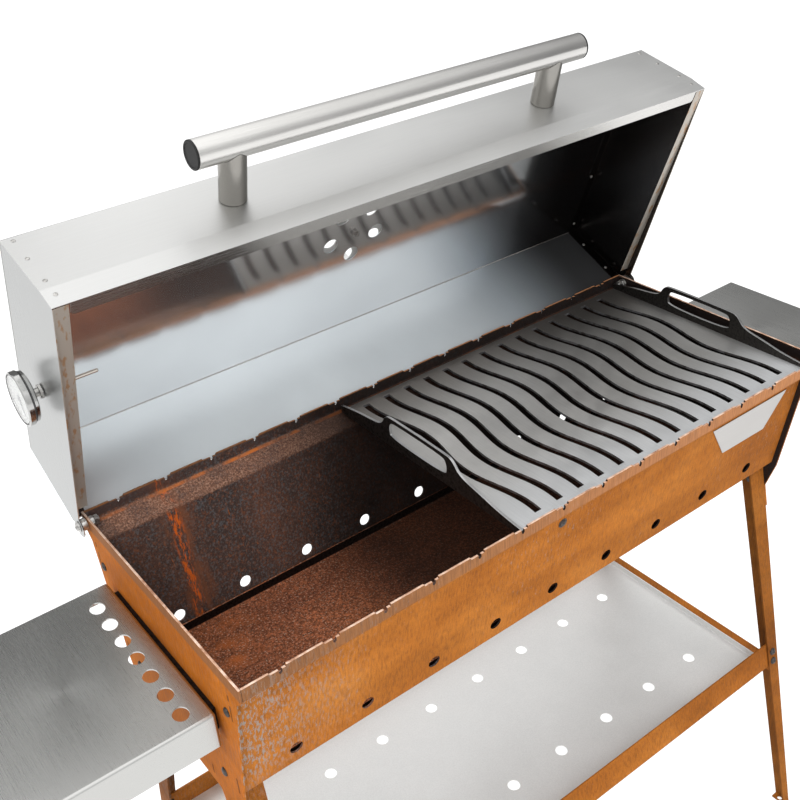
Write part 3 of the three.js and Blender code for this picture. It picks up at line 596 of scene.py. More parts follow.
def grate_cut():
    """Cut edges of the grate."""
    paint = Shader("grate_cut")
    paint.set(metallic=0.8, roughness=0.38)
    wear = paint.noise(70, detail=3)
    paint.color(paint.ramp(wear, [(0.35, (0.10, 0.09, 0.085)), (0.65, (0.30, 0.30, 0.31))]))
    paint.bump(paint.noise(800, detail=2), 0.0002, 0.4)
    return paint.material


def shelf_steel():
    """Pale satin sheet with soft clouds."""
    paint = Shader("shelf_satin")
    paint.set(metallic=0.55, roughness=0.5)
    clouds = paint.noise(5, detail=5, rough=0.55)
    base = paint.ramp(clouds, [(0.3, (0.70, 0.70, 0.69)), (0.7, (0.82, 0.82, 0.81))])
    specks = paint.noise(700, detail=2)
    base = paint.shade(0.25, base, specks, [(0.35, 0.8), (0.65, 1.15)])
    paint.color(base)
    paint.roughness(paint.ramp(clouds, [(0.3, 0.42), (0.7, 0.58)]))
    paint.bump(specks, 0.0001, 0.4)
    return paint.material


def bolt_metal(name, tone, rough):
    """Turned and plated screws with small stains."""
    paint = Shader(name)
    paint.set(metallic=0.95, roughness=rough)
    stains = paint.noise(260, detail=3)
    low = tuple(c * 0.45 for c in tone)
    paint.color(paint.ramp(stains, [(0.32, low), (0.5, tone), (0.7, tuple(min(1, c * 1.15) for c in tone))]))
    paint.roughness(paint.ramp(stains, [(0.3, rough * 1.4), (0.7, rough)]))
    paint.bump(paint.noise(1400, detail=2), 0.0001, 0.4)
    return paint.material


def dark_plastic():
    """Glossy black caps."""
    paint = Shader("dark_gloss")
    paint.set(metallic=0.0, roughness=0.45, specular=0.2)
    grain = paint.noise(500, detail=2)
    paint.color(paint.ramp(grain, [(0.3, 0.008), (0.7, 0.020)]))
    paint.roughness(paint.ramp(grain, [(0.3, 0.4), (0.7, 0.55)]))
    paint.bump(grain, 0.00005, 0.4)
    return paint.material


def print_or_paper(name, roughness, dark, pale):
    """The dial's paper or its ink, with a fine grain."""
    paint = Shader(name)
    paint.set(roughness=roughness, specular=0.3)
    grain = paint.noise(900, detail=2)
    paint.color(paint.ramp(grain, [(0.3, dark), (0.7, pale)]))
    paint.bump(grain, 0.00003, 0.3)
    return paint.material


def clear_glass():
    """The thermometer's glass, a little smeared."""
    paint = Shader("clear_glass")
    paint.set(roughness=0.03, specular=0.5, color=(0.97, 0.98, 0.98))
    paint.bsdf.inputs["Transmission Weight"].default_value = 1.0
    paint.bsdf.inputs["IOR"].default_value = 1.45
    smear = paint.noise(30, detail=3)
    paint.roughness(paint.ramp(smear, [(0.4, 0.02), (0.7, 0.07)]))
    return paint.material


# ---------------------------------------------------------------- mesh helpers

def prism(outline, start, end, axis="X"):
    """A closed solid: an outline in millimetres, extruded along an axis."""
    place = {
        "X": lambda u, v, w: at(w, u, v),
        "Y": lambda u, v, w: at(u, w, v),
        "Z": lambda u, v, w: at(u, v, w),
    }[axis]
    bm = bmesh.new()
    rings = [[bm.verts.new(place(u, v, w)) for u, v in outline] for w in (start, end)]
    count = len(outline)
    bm.faces.new(rings[0])
    bm.faces.new(reversed(rings[1]))
    for i in range(count):
        j = (i + 1) % count
        bm.faces.new((rings[0][i], rings[0][j], rings[1][j], rings[1][i]))
    bmesh.ops.recalc_face_normals(bm, faces=bm.faces)
    return bm


def lathe(profile, start, direction, segments=48):
    """A solid of revolution: (distance along, radius) pairs from one end on the axis to the other."""
    along = Vector(direction).normalized()
    side = along.orthogonal().normalized()
    other = along.cross(side)
    origin = at(*start)
    bm = bmesh.new()
    rings = []
    for distance, radius in profile:
        centre = origin + along * distance * MM
        if radius < 1e-6:
            rings.append([bm.verts.new(centre)])
            continue
        ring = []
        for i in range(segments):
            turn = 2 * math.pi * i / segments
            ring.append(bm.verts.new(centre + (side * math.cos(turn) + other * math.sin(turn)) * radius * MM))
        rings.append(ring)
    for lower, upper in zip(rings, rings[1:]):
        for i in range(segments):
            j = (i + 1) % segments
            if len(lower) == 1 and len(upper) == 1:
                continue
            if len(lower) == 1:
                bm.faces.new((lower[0], upper[i], upper[j]))
            elif len(upper) == 1:
                bm.faces.new((lower[i], lower[j], upper[0]))
            else:
                bm.faces.new((lower[i], lower[j], upper[j], upper[i]))
    bmesh.ops.recalc_face_normals(bm, faces=bm.faces)
    return bm


def drum(radius, start, direction, length, segments=32):
    """A plain round cutter."""
    return lathe([(0, 0), (0, radius), (length, radius), (length, 0)], start, direction, segments)


def dome(radius, height, flat):
    """Profile of a domed head that stands on its seat at distance 0."""
    steps = 6
    points = [(0, 0), (0, radius), (flat, radius)]
    for i in range(1, steps):
        turn = math.pi / 2 * i / steps
        points.append((flat + (height - flat) * math.sin(turn), radius * math.cos(turn)))
    points.append((height, 0))
    return points


def hexagon(across, start, direction, length, turn=0.0):
    """A hexagon nut's body with chamfered corners."""
    corner = across / math.sqrt(3)
    bm = lathe([(0, 0), (0, corner * 0.93), (length * 0.12, corner), (length * 0.88, corner),
                (length, corner * 0.93), (length, 0)], start, direction, 6)
    if turn:
        centre = at(*start)
        bmesh.ops.rotate(bm, verts=bm.verts, cent=centre, matrix=Matrix.Rotation(turn, 3, Vector(direction)))
    return bm


def merge(parts):
    """One bmesh from several."""
    whole = bmesh.new()
    for part in parts:
        mesh = bpy.data.meshes.new("part")
        part.to_mesh(mesh)
        part.free()
        whole.from_mesh(mesh)
        bpy.data.meshes.remove(mesh)
    return whole


def as_object(name, bm):
    mesh = bpy.data.meshes.new(name)
    bm.to_mesh(mesh)
    bm.free()
    made = bpy.data.objects.new(name, mesh)
    bpy.context.scene.collection.objects.link(made)
    return made


def baked(made):
    """The object's mesh after its modifiers, as a new bmesh; the object is removed."""
    graph = bpy.context.evaluated_depsgraph_get()
    mesh = bpy.data.meshes.new_from_object(made.evaluated_get(graph))
    bm = bmesh.new()
    bm.from_mesh(mesh)
    bpy.data.meshes.remove(mesh)
    old = made.data
    bpy.data.objects.remove(made)
    bpy.data.meshes.remove(old)
    return bm


def carve(body, tools, operation="DIFFERENCE"):
    """The body with a list of solids cut out of it."""
    target = as_object("carve_body", body)
    cutter = as_object("carve_tool", merge(tools))
    modifier = target.modifiers.new("carve", "BOOLEAN")
    modifier.operation = operation
    modifier.solver = "EXACT"
    modifier.use_self = operation == "DIFFERENCE"
    modifier.object = cutter
    result = baked(target)
    old = cutter.data
    bpy.data.objects.remove(cutter)
    bpy.data.meshes.remove(old)
    bmesh.ops.remove_doubles(result, verts=result.verts, dist=1e-6)
    return result


def offset_path(path, distance):
    """A path moved sideways, with mitred corners; positive goes to the left of the walk."""
    moved = []
    for i, point in enumerate(path):
        here = Vector(point)
        before = (here - Vector(path[i - 1])).normalized() if i > 0 else None
        after = (Vector(path[i + 1]) - here).normalized() if i < len(path) - 1 else None
        first, second = before or after, after or before
        n1, n2 = Vector((-first.y, first.x)), Vector((-second.y, second.x))
        mitre = (n1 + n2).normalized()
        moved.append(tuple(here + mitre * (distance / mitre.dot(n1))))
    return moved


def rounded(path, radius):
    """A path with its inner corners turned into arcs."""
    steps = 5
    points = [tuple(path[0])]
    for before, corner, after in zip(path, path[1:], path[2:]):
        here = Vector(corner)
        a = (Vector(before) - here).normalized()
        b = (Vector(after) - here).normalized()
        half = a.angle(b) / 2
        reach = radius / math.tan(half)
        centre = here + (a + b).normalized() * (radius / math.sin(half))
        p, q = here + a * reach - centre, here + b * reach - centre
        sweep = p.angle_signed(q)
        for i in range(steps + 1):
            turned = p.copy()
            turned.rotate(Matrix.Rotation(-sweep * i / steps, 2))
            points.append(tuple(centre + turned))
    points.append(tuple(path[-1]))
    return points


def sheet_outline(path, thickness, bend):
    """Section of a folded sheet whose outer face is the path and whose corners are bent."""
    middle = rounded(offset_path(path, thickness / 2), bend)
    return offset_path(middle, -thickness / 2) + list(reversed(offset_path(middle, thickness / 2)))


def replace_with_result(made):
    """Applies the object's modifiers."""
    graph = bpy.context.evaluated_depsgraph_get()
    mesh = bpy.data.meshes.new_from_object(made.evaluated_get(graph), preserve_all_data_layers=True,
                                           depsgraph=graph)
    old = made.data
    name = old.name
    made.modifiers.clear()
    made.data = mesh
    bpy.data.meshes.remove(old)
    mesh.name = name


def finish_piece(name, bm, body, materials, paint=None, replaces=(), lid=False, bevel=0.0,
                 smooth=30):
    """Turns a bmesh into a finished piece that rides on a body."""
    if lid:
        bm.transform(LID)
    bmesh.ops.recalc_face_normals(bm, faces=bm.faces)
    bmesh.ops.dissolve_limit(bm, angle_limit=math.radians(0.4), verts=bm.verts, edges=bm.edges)
    made = as_object(name, bm)
    for material in materials:
        made.data.materials.append(material)
    if paint is not None:
        for face in made.data.polygons:
            face.material_index = paint(face)
    if bevel:
        modifier = made.modifiers.new("edges", "BEVEL")
        modifier.width = bevel * MM
        modifier.segments = 2
        modifier.limit_method = "ANGLE"
        modifier.angle_limit = math.radians(35)
        modifier.use_clamp_overlap = True
        modifier.harden_normals = False
        replace_with_result(made)
    made.data.shade_smooth()
    made.data.set_sharp_from_angle(angle=math.radians(smooth))
    weighted = made.modifiers.new("normals", "WEIGHTED_NORMAL")
    weighted.keep_sharp = True
    weighted.weight = 90
    replace_with_result(made)
    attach(made, body)
    if replaces:
        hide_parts(*replaces)


def node_mesh(node):
    """A copy of a CAD node's mesh with its triangles joined into flat faces."""
    bm = bmesh.new()
    bm.from_mesh(frame["nodes"][node].data)
    bmesh.ops.remove_doubles(bm, verts=bm.verts, dist=2e-6)
    bmesh.ops.dissolve_limit(bm, angle_limit=math.radians(0.5), verts=bm.verts, edges=bm.edges)
    return bm


def refined(node, name, body, materials, paint=None, bevel=0.5):
    """A CAD node's own shape with softened edges."""
    finish_piece(name, node_mesh(node), body, materials, paint, (node,), bevel=bevel)


def mirror_x(bm):
    """The same shape at the other end of the trough."""
    middle = at(LENGTH / 2, 0, 0).x
    for vert in bm.verts:
        vert.co.x = 2 * middle - vert.co.x
    bmesh.ops.reverse_faces(bm, faces=bm.faces)
    return bm


def mirror_y(bm):
    """The same shape at the other long side of the trough."""
    middle = at(0, DEPTH / 2, 0).y
    for vert in bm.verts:
        vert.co.y = 2 * middle - vert.co.y
    bmesh.ops.reverse_faces(bm, faces=bm.faces)
    return bm


def in_corner(bm, right, back):
    """A shape made in the front left corner, moved to another corner."""
    bm = mirror_x(bm) if right else bm
    return mirror_y(bm) if back else bm


def slab(x, y, z):
    """A rectangular solid."""
    return prism([(x[0], y[0]), (x[1], y[0]), (x[1], y[1]), (x[0], y[1])], z[0], z[1], "Z")


def wall_y(z):
    """Outer face of a long wall below its ledge."""
    share = (z - LEDGE[1]) / (WALL_FOOT[1] - LEDGE[1])
    return LEDGE[0] + share * (WALL_FOOT[0] - LEDGE[0])


def leg_y(z):
    """Outer face of a front leg at a height."""
    return LEG_ORIGIN + LEG_LEAN * z


# ---------------------------------------------------------------- trough

def wall_shape():
    path = [(0, 0), (0, -LIP_DROP), LEDGE, WALL_FOOT, (WALL_FOOT[0] + WALL_FLANGE, WALL_FOOT[1])]
    body = prism(sheet_outline(path, SHEET, BEND), SHEET + GAP, LENGTH - SHEET - GAP)
    tools = []
    pitch = (LENGTH - 2 * AIR_FIRST) / (AIR_HOLES - 1)
    for i in range(AIR_HOLES):
        tools.append(drum(AIR_RADIUS, (AIR_FIRST + i * pitch, wall_y(AIR_Z) - 8, AIR_Z), (0, 1, 0), 22, 40))
    for i in range(NOTCHES):
        x = NOTCH_FIRST + i * NOTCH_PITCH
        slot = x + SKEWER_OFFSET
        half = NOTCH_WIDTH / 2
        outline = [
            (x - half, 5), (x - half, 0), (x - half + 1.2, -NOTCH_DEPTH), (slot - SKEWER_WIDTH / 2, -NOTCH_DEPTH),
            (slot - SKEWER_WIDTH / 2, -SKEWER_DEPTH + 1.5), (slot, -SKEWER_DEPTH - 0.5),
            (slot + SKEWER_WIDTH / 2, -SKEWER_DEPTH + 1.5), (slot + SKEWER_WIDTH / 2, -NOTCH_DEPTH),
            (x + half - 1.2, -NOTCH_DEPTH), (x + half, 0), (x + half, 5),
        ]
        tools.append(prism(outline, -5, SHEET + 6, "Y"))
    return carve(body, tools)


def wall_paint(outward):
    """Outside, inside and top edge of a long wall, bare on the front and in painted shade on the back; outward is
    the sign of Y outside.
    """
    top = at(0, 0, -SKEWER_DEPTH - 1).z

    def choose(face):
        # Top faces: the bare edge on the front wall, and the darker rust copy as painted shade on the back wall.
        if face.center.z > top and face.normal.z > 0.8:
            return 2 if outward < 0 else 3
        return 0 if face.normal.y * outward > 0.05 or face.normal.z < -0.7 else 1

    return choose


def end_paint(outward):
    """Outside, inside and bare edge of an end plate."""
    rim = at(0, 0, -30).z

    def choose(face):
        if abs(face.normal.x) < 0.5:
            return 2 if face.normal.z > 0.5 and face.center.z > rim else 0
        return 0 if face.normal.x * outward > 0 else 1

    return choose


def add_trough(looks):
    walls = [looks["rust"], looks["burnt"], looks["edge"], looks["rust_painted_shade"]]
    finish_piece("front_wall_folded", wall_shape(), "frame", walls, wall_paint(-1),
                 ("front_wall",), bevel=0.3)
    finish_piece("back_wall_folded", mirror_y(wall_shape()), "frame", walls, wall_paint(1),
                 ("back_wall",), bevel=0.3)
    for side, outward in (("left", -1), ("right", 1)):
        refined(f"{side}_end_plate", f"{side}_end_plate_cut", "frame", walls,
                end_paint(outward), bevel=0.35)
    tray_low, tray_high = mm_box("ember_tray")
    path = [(tray_low[1], tray_high[2]), (tray_low[1], tray_low[2]), (tray_high[1], tray_low[2]),
            (tray_high[1], tray_high[2])]
    tray = prism(sheet_outline(path, TRAY_SHEET, BEND), tray_low[0], tray_high[0])
    # The tray's flanges and underside take near-black scale: soot, and painted shadow in the gap along the walls.
    finish_piece("ember_tray_folded", tray, "frame", [looks["ember"], looks["char_and_painted_shadow"]],
                 lambda face: 1 if face.normal.z < 0.7 else 0, ("ember_tray",), bevel=0.3)
    refined("badge_plate", "badge_plate_blank", "frame", [looks["plate"]], bevel=0.35)
    add_wall_fixings(looks)


def add_wall_fixings(looks):
    """Tabs of the long walls that pass through the end plates, and the small middle screw."""
    spots = [(31, -35, 3.2, 8), (31, -59, 3.2, 24), (55.5, -200, 3.2, 26), (125, -234, 3.2, 14)]
    parts = []
    for y, z, width, height in spots:
        tab = slab((-0.25, 0.4), (y - width / 2, y + width / 2), (z - height / 2, z + height / 2))
        back = slab((-0.25, 0.4), (DEPTH - y - width / 2, DEPTH - y + width / 2), (z - height / 2, z + height / 2))
        parts += [tab, back]
    left = merge(parts)
    # The tabs take the darker rust copy as painted shade inside their slots.
    for end, tabs in (("left", left), ("right", mirror_x(left.copy()))):
        finish_piece(f"end_tabs_{end}", tabs, "frame", [looks["rust_painted_shade"]], bevel=0.15)
    for end, x, outwards in (("left", 0, -1), ("right", LENGTH, 1)):
        screws = [lathe(dome(6.0, 3.2, 0.8), (x, y, z), (outwards, 0, 0), 24)
                  for near_y, z in PLATE_SCREWS for y in (near_y, DEPTH - near_y)]
        finish_piece(f"end_screws_{end}", merge(screws), "frame", [looks["dark_bolt"]], smooth=40)
    normal = Vector((0, -(WALL_FOOT[1] - LEDGE[1]), WALL_FOOT[0] - LEDGE[0])) * -1
    x, z = MIDDLE_SCREW
    stud = merge([lathe(dome(radius, height, flat), (x, wall_y(z), z), normal, 24)
                  for radius, height, flat in ((5.4, 3.0, 1.0), (7.4, 1.0, 0.5))])
    finish_piece("middle_screw", stud, "frame", [looks["dark_bolt"]], smooth=40)


# ---------------------------------------------------------------- stand

def leg_paint(outward_x, outward_y):
    """Outside faces, shaded inside faces and cut edges of a leg or rail."""

    def choose(face):
        n = face.normal
        if n.x * outward_x > 0.5 or n.y * outward_y > 0.5:
            return 0
        return 1 if abs(n.x) > 0.5 or abs(n.y) > 0.5 else 2

    return choose


def add_stand(looks):
    # Legs: a darker copy of the outside rust as painted shade under the trough, and the darkest copy as painted
    # shade on their inside faces.
    set_of_three = [looks["leg_rust_painted_shade"], looks["rust_painted_shade"], looks["leg_rust_painted_shade"]]
    for end, sign_x in (("left", -1), ("right", 1)):
        for side, sign_y in (("front", -1), ("back", 1)):
            corner = f"{side}_{end}"
            refined(f"leg_{corner}", f"leg_{corner}_angle", "frame", set_of_three,
                    leg_paint(sign_x, sign_y), bevel=0.6)
            add_corner_bolts(corner, end == "right", side == "back", looks)
    for side in ("front", "back"):
        low, high = mm_box(f"rail_{side}")
        top, foot = (leg_y(z) + SHEET + GAP + 0.1 for z in RAIL_Z)
        path = [(top, RAIL_Z[0]), (foot, RAIL_Z[1]), (foot + RAIL_FLANGE, RAIL_Z[1])]
        bar = prism(sheet_outline(path, SHEET, BEND), low[0], high[0])
        if side == "back":
            bar = mirror_y(bar)
        finish_piece(f"rail_{side}_folded", bar, "frame",
                     [looks["rust"]], None, (f"rail_{side}",), bevel=0.4)
    for end in ("left", "right"):
        refined(f"rail_{end}", f"rail_{end}_bar", "frame", [looks["rust"]], bevel=0.5)
    add_shelf(looks)


def bolt_parts(z):
    """Rail screw: flanged dome head in front, nut and shank end behind, in the front left corner."""
    normal = Vector((0, -1, LEG_LEAN)).normalized()
    seat = Vector((RAIL_BOLT_X, leg_y(z), z)) + normal * GAP
    behind = Vector((RAIL_BOLT_X, leg_y(z), z)) - normal * 6.9
    return [
        lathe(SCREW_HEAD, seat, normal, 32),
        hexagon(11.0, behind, -normal, 5.6),
        drum(SHANK, behind, -normal, 8.0, 24),
        drum(SHANK, seat, -normal, 8.0, 24),
    ]


def add_corner_bolts(corner, right, back, looks):
    for level, z in zip(("upper", "lower"), RAIL_BOLT_Z):
        bm = in_corner(merge(bolt_parts(z)), right, back)
        finish_piece(f"rail_screw_{level}_{corner}", bm, "frame", [looks["dark_bolt"]], None,
                     (f"rail_bolt_{level}_{corner}",), smooth=35)
    y, z = LEG_BOLT
    bm = merge([
        lathe(SCREW_HEAD, (-GAP, y, z), (-1, 0, 0), 32),
        drum(SHANK, (-GAP, y, z), (1, 0, 0), 15.0, 24),
        hexagon(11.0, (6.6, y, z), (1, 0, 0), 5.6),
    ])
    finish_piece(f"leg_screw_{corner}", in_corner(bm, right, back), "frame", [looks["dark_bolt"]], None,
                 (f"leg_bolt_{corner}",), smooth=35)


def add_shelf(looks):
    low, high = mm_box("shelf_plate")
    path = [(low[0], high[2]), (low[0], low[2]), (high[0], low[2]), (high[0], high[2])]
    tray = prism(sheet_outline(path, THIN, 3.0), low[1], high[1], "Y")
    tools = []
    for y in SHELF_HOLE_ROWS:
        for i in range(SHELF_HOLES):
            x = SHELF_HOLE_LAST - i * SHELF_HOLE_PITCH
            tools.append(drum(SHELF_HOLE_RADIUS, (x, y, low[2] - 3), (0, 0, 1), 8, 40))
    finish_piece("shelf_folded", carve(tray, tools), "frame", [looks["shelf"]], None,
                 ("shelf_plate",), bevel=0.25)


# ---------------------------------------------------------------- tables

def round_top(bm, top, radius):
    """Rounds the edges at the top of a solid."""
    edges = [e for e in bm.edges if max(v.co.z for v in e.verts) > at(0, 0, top - 1).z]
    bmesh.ops.bevel(bm, geom=edges, offset=radius * MM, segments=5, profile=0.5, affect="EDGES",
                    clamp_overlap=True)


def table_shape():
    low, high = mm_box("table_left")
    outer = slab((low[0], high[0]), (low[1], high[1]), (low[2] - 20, high[2]))
    round_top(outer, high[2], TABLE_BEND)
    inner = slab((low[0] + THIN, high[0] - THIN), (low[1] + THIN, high[1] - THIN), (low[2] - 22, high[2] - THIN))
    round_top(inner, high[2] - THIN, TABLE_BEND - THIN)
    tools = [
        inner,
        slab((low[0] - 5, high[0] + 5), (low[1] - 5, high[1] + 5), (low[2] - 30, low[2])),
        slab((low[0] + THIN, high[0] - THIN), (high[1] - 2 * THIN, high[1] + 5),
             (low[2] - 30, high[2] - TABLE_BACK_APRON)),
    ]
    step = (TOOL_HOLE_ENDS[1] - TOOL_HOLE_ENDS[0]) / (TOOL_HOLES - 1)
    for i in range(TOOL_HOLES):
        y = TOOL_HOLE_ENDS[0] + i * step
        outline = []
        for k in range(40):
            turn = 2 * math.pi * k / 40
            outline.append((TOOL_HOLE_X + TOOL_HOLE_SIZE[0] / 2 * math.cos(turn),
                            y + TOOL_HOLE_SIZE[1] / 2 * math.sin(turn)))
        tools.append(prism(outline, high[2] - 6, high[2] + 4, "Z"))
    return carve(outer, tools)


def add_tables(looks):
    for side in ("left", "right"):
        bm = table_shape()
        bm = mirror_x(bm) if side == "right" else bm
        finish_piece(f"table_{side}_folded", bm, "frame", [looks["table"]], None, (f"table_{side}",),
                     bevel=0.2)
        # The brackets take the near-black scale as painted shade in their gap.
        refined(f"table_bracket_{side}", f"table_bracket_{side}_channel", "frame", [looks["char_and_painted_shadow"]],
                bevel=0.3)


# ---------------------------------------------------------------- lid

def vent_tools(z0, z1, turn):
    """Cutters for the vent's ring of holes and its screw."""
    tools = []
    for i in range(VENT_COUNT):
        angle = VENT_START + turn + i * 2 * math.pi / VENT_COUNT
        x = VENT_CENTRE[0] + VENT_RING * math.cos(angle)
        y = VENT_CENTRE[1] + VENT_RING * math.sin(angle)
        tools.append(drum(VENT_RADIUS, (x, y, z0), (0, 0, 1), z1 - z0, 48))
    tools.append(drum(3.4, (*VENT_CENTRE, z0), (0, 0, 1), z1 - z0, 24))
    return tools


def lid_path():
    front = LID_FRONT_FOOT[0]
    return [LID_REAR_FOOT, (LID_REAR_TOP, LID_TOP), (LID_FRONT_TOP, LID_TOP), LID_FRONT_FOOT, (front, LID_MOUTH)]


def skin_shape():
    body = prism(sheet_outline(lid_path(), LID_SHEET, FINE_BEND), LID_SIDE, LENGTH - LID_SIDE)
    front = LID_FRONT_FOOT[0]
    inset = LID_SIDE + MOUTH_FLANGE + 2
    outline = [(inset, front + 0.5), (LENGTH - inset, front + 0.5), (LENGTH - inset, front + MOUTH_FLANGE - 3),
               (LENGTH - inset - 3, front + MOUTH_FLANGE), (inset + 3, front + MOUTH_FLANGE),
               (inset, front + MOUTH_FLANGE - 3)]
    flange = prism(outline, LID_MOUTH, LID_MOUTH + LID_SHEET, "Z")
    body = carve(body, [flange], "UNION")
    return carve(body, vent_tools(LID_TOP - 6, LID_TOP + 6, 0))


def skin_paint(face):
    """Outside, inside and cut edges of the lid's skin, told apart in the closed lid's frame."""
    place = LID.inverted() @ face.center
    normal = (LID.inverted().to_3x3() @ face.normal).normalized()
    y = (place.y - ORIGIN.y) / MM
    z = (place.z - ORIGIN.z) / MM
    if abs(normal.x) > 0.7:
        return 2
    middle = Vector((0, (HINGE_Y + 10) / 2 - y, 60 - z))
    inward = normal.y * middle.y + normal.z * middle.z
    if z < 5 and abs(normal.z) > 0.8:
        return 3
    if inward > 0:
        # Inner bend faces take the lid lip's finish as a painted highlight along the creases.
        if abs(normal.y) > 0.2 and abs(normal.z) > 0.2:
            return 3
        # The rear panel's inner face takes its own bluer copy of the sheet as painted reflection.
        return 4 if normal.y < -0.7 and y > DEPTH / 2 else 1
    return 0


def lid_end_paint(outward):
    def choose(face):
        normal = (LID.inverted().to_3x3() @ face.normal).normalized()
        place = LID.inverted() @ face.center
        z = (place.z - ORIGIN.z) / MM
        if normal.x * outward > 0.7:
            return 0
        if z < 6 and abs(normal.z) > 0.8:
            return 2
        return 1

    return choose


def add_lid(looks):
    finish_piece("lid_skin_folded", skin_shape(), "lid",
                 [looks["lid_out"], looks["lid_in"], looks["lid_edge"], looks["lid_lip_and_crease_highlight"], looks["lid_rear"]],
                 skin_paint, ("lid_skin",), lid=True, bevel=0.2)
    for side, outward in (("left", -1), ("right", 1)):
        refined(f"lid_{side}_end", f"lid_{side}_end_folded", "lid",
                [looks["lid_end"], looks["lid_end_inner_dark"], looks["lid_flange"]], lid_end_paint(outward), bevel=0.25)
    add_rivets(looks)
    add_damper(looks)
    add_handle(looks)
    add_gauge(looks)
    add_hinges(looks)


def front_panel_point(z, out):
    """Point (y, z) that stands out from the lid's front panel at a height."""
    y0, z0 = LID_FRONT_FOOT
    run, rise = LID_FRONT_TOP - y0, LID_TOP - z0
    length = math.hypot(run, rise)
    y = y0 + (z - z0) / rise * run
    return y - out * rise / length, z + out * run / length


def add_rivets(looks):
    """Pop rivets that join the skin to the lid ends, on the front, top and rear panels."""
    y0, z0 = front_panel_point(LID_TOP, 0)
    y1, z1 = front_panel_point(LID_TOP, 1)
    front_normal = Vector((0, y1 - y0, z1 - z0))
    parts = []
    inner = []
    for x, inwards in ((2, 1), (LENGTH - 2, -1)):
        for z in (124, 87, 43):
            y, zz = front_panel_point(z, 0)
            parts.append(lathe(dome(2.7, 0.8, 0.2), (x, y, zz), front_normal, 20))
        parts.append(lathe(dome(2.7, 0.8, 0.2), (x, LID_FRONT_FOOT[0], 18), (0, -1, 0), 20))
        for y in (60, 160, 260, 364):
            parts.append(lathe(dome(2.7, 0.8, 0.2), (x, y, LID_TOP), (0, 0, 1), 20))
            inner.append(lathe(dome(2.6, 1.6, 0.3), (x, y, LID_TOP - 3.4), (0, 0, -1), 16))
        for z in (35, 95):
            share = (z - LID_REAR_FOOT[1]) / (LID_TOP - LID_REAR_FOOT[1])
            y = LID_REAR_FOOT[0] - share * (LID_REAR_FOOT[0] - LID_REAR_TOP)
            parts.append(lathe(dome(2.7, 0.8, 0.2), (x, y, z), (0, 1, 0.08), 20))
            inner.append(lathe(dome(2.6, 1.6, 0.3), (x, y - 3.4, z), (0, -1, -0.08), 16))
    finish_piece("lid_rivets", merge(parts), "lid", [looks["rivet"]], lid=True, smooth=40)
    finish_piece("lid_rivet_tails", merge(inner), "lid", [looks["rivet"]], lid=True, smooth=40)


def add_damper(looks):
    z0 = LID_TOP + GAP
    disc = lathe([(0, 0), (0, DAMPER_RADIUS), (LID_SHEET, DAMPER_RADIUS), (LID_SHEET, 0)], (*VENT_CENTRE, z0),
                 (0, 0, 1), 96)
    disc = carve(disc, vent_tools(z0 - 2, z0 + 4, DAMPER_TURN))
    y = VENT_CENTRE[1] + DAMPER_RADIUS
    x = VENT_CENTRE[0]
    tab = slab((x - 2, x + 2), (y - 12, y - 2), (z0 + LID_SHEET - 0.3, z0 + LID_SHEET + 12))
    finish_piece("damper_disc_cut", carve(disc, [tab], "UNION"), "damper", [looks["lid_out"]], None,
                 ("damper_disc",), lid=True, bevel=0.2)
    top = LID_TOP + LID_SHEET + 2 * GAP
    under = LID_TOP - LID_SHEET - GAP
    screw = merge([
        lathe([(0, 0), (0, 6), (0.8, 6), (2.2, 4.8), (3, 2.4), (3, 1.4), (1.8, 1.4), (1.8, 0)], (*VENT_CENTRE, top),
              (0, 0, 1), 32),
        drum(3, (*VENT_CENTRE, LID_TOP - 10), (0, 0, 1), 12.5, 24),
        hexagon(10.0, (*VENT_CENTRE, under), (0, 0, -1), 5.0),
    ])
    finish_piece("damper_screw_turned", screw, "lid", [looks["dull_bolt"]], None, ("damper_screw",),
                 lid=True, smooth=35)


def handle_place(x, out):
    y, z = front_panel_point(POST_Z, out)
    return (x, y, z)


def add_handle(looks):
    x0, x1 = HANDLE_ENDS
    length = x1 - x0
    r = HANDLE_RADIUS
    wall = HANDLE_WALL
    tube = lathe([(0, r - wall), (0, r - 0.4), (0.4, r), (length - 0.4, r), (length, r - 0.4), (length, r - wall),
                  (0, r - wall)], handle_place(x0, HANDLE_STANDOFF), (1, 0, 0), 96)
    bmesh.ops.remove_doubles(tube, verts=tube.verts, dist=1e-7)
    finish_piece("handle_tube_brushed", tube, "lid", [looks["tube"]], None, ("handle_tube",),
                 lid=True, smooth=40)
    outwards = Vector(handle_place(0, 1)) - Vector(handle_place(0, 0))
    for side, x in zip(("left", "right"), POST_X):
        post = lathe([(0, 0), (0, POST_RADIUS - 0.3), (0.4, POST_RADIUS), (HANDLE_STANDOFF - GAP, POST_RADIUS),
                      (HANDLE_STANDOFF - GAP, 0)], handle_place(x, GAP), outwards, 72)
        saddle = drum(r + GAP, handle_place(x - 40, HANDLE_STANDOFF), (1, 0, 0), 80, 96)
        finish_piece(f"handle_post_{side}_saddled", carve(post, [saddle]), "lid", [looks["post"]],
                     None, (f"handle_post_{side}",), lid=True, bevel=0.3, smooth=35)
    for side, x, away in (("left", x0, -1), ("right", x1, 1)):
        cap = lathe([(-14, 0), (-14, r - wall - 0.6), (-13, r - wall - GAP), (GAP, r - wall - GAP), (GAP, r - 0.5),
                     (0.8, r), (2.2, r), (3, r - 0.8), (3, r - 3), (2.3, r - 3.6), (2.3, 0)],
                    handle_place(x, HANDLE_STANDOFF), (away, 0, 0), 72)
        finish_piece(f"handle_cap_{side}_turned", cap, "lid", [looks["black"]], None,
                     (f"handle_cap_{side}",), lid=True, smooth=35)


def gauge_point(x):
    return (x, GAUGE_Y, GAUGE_Z)


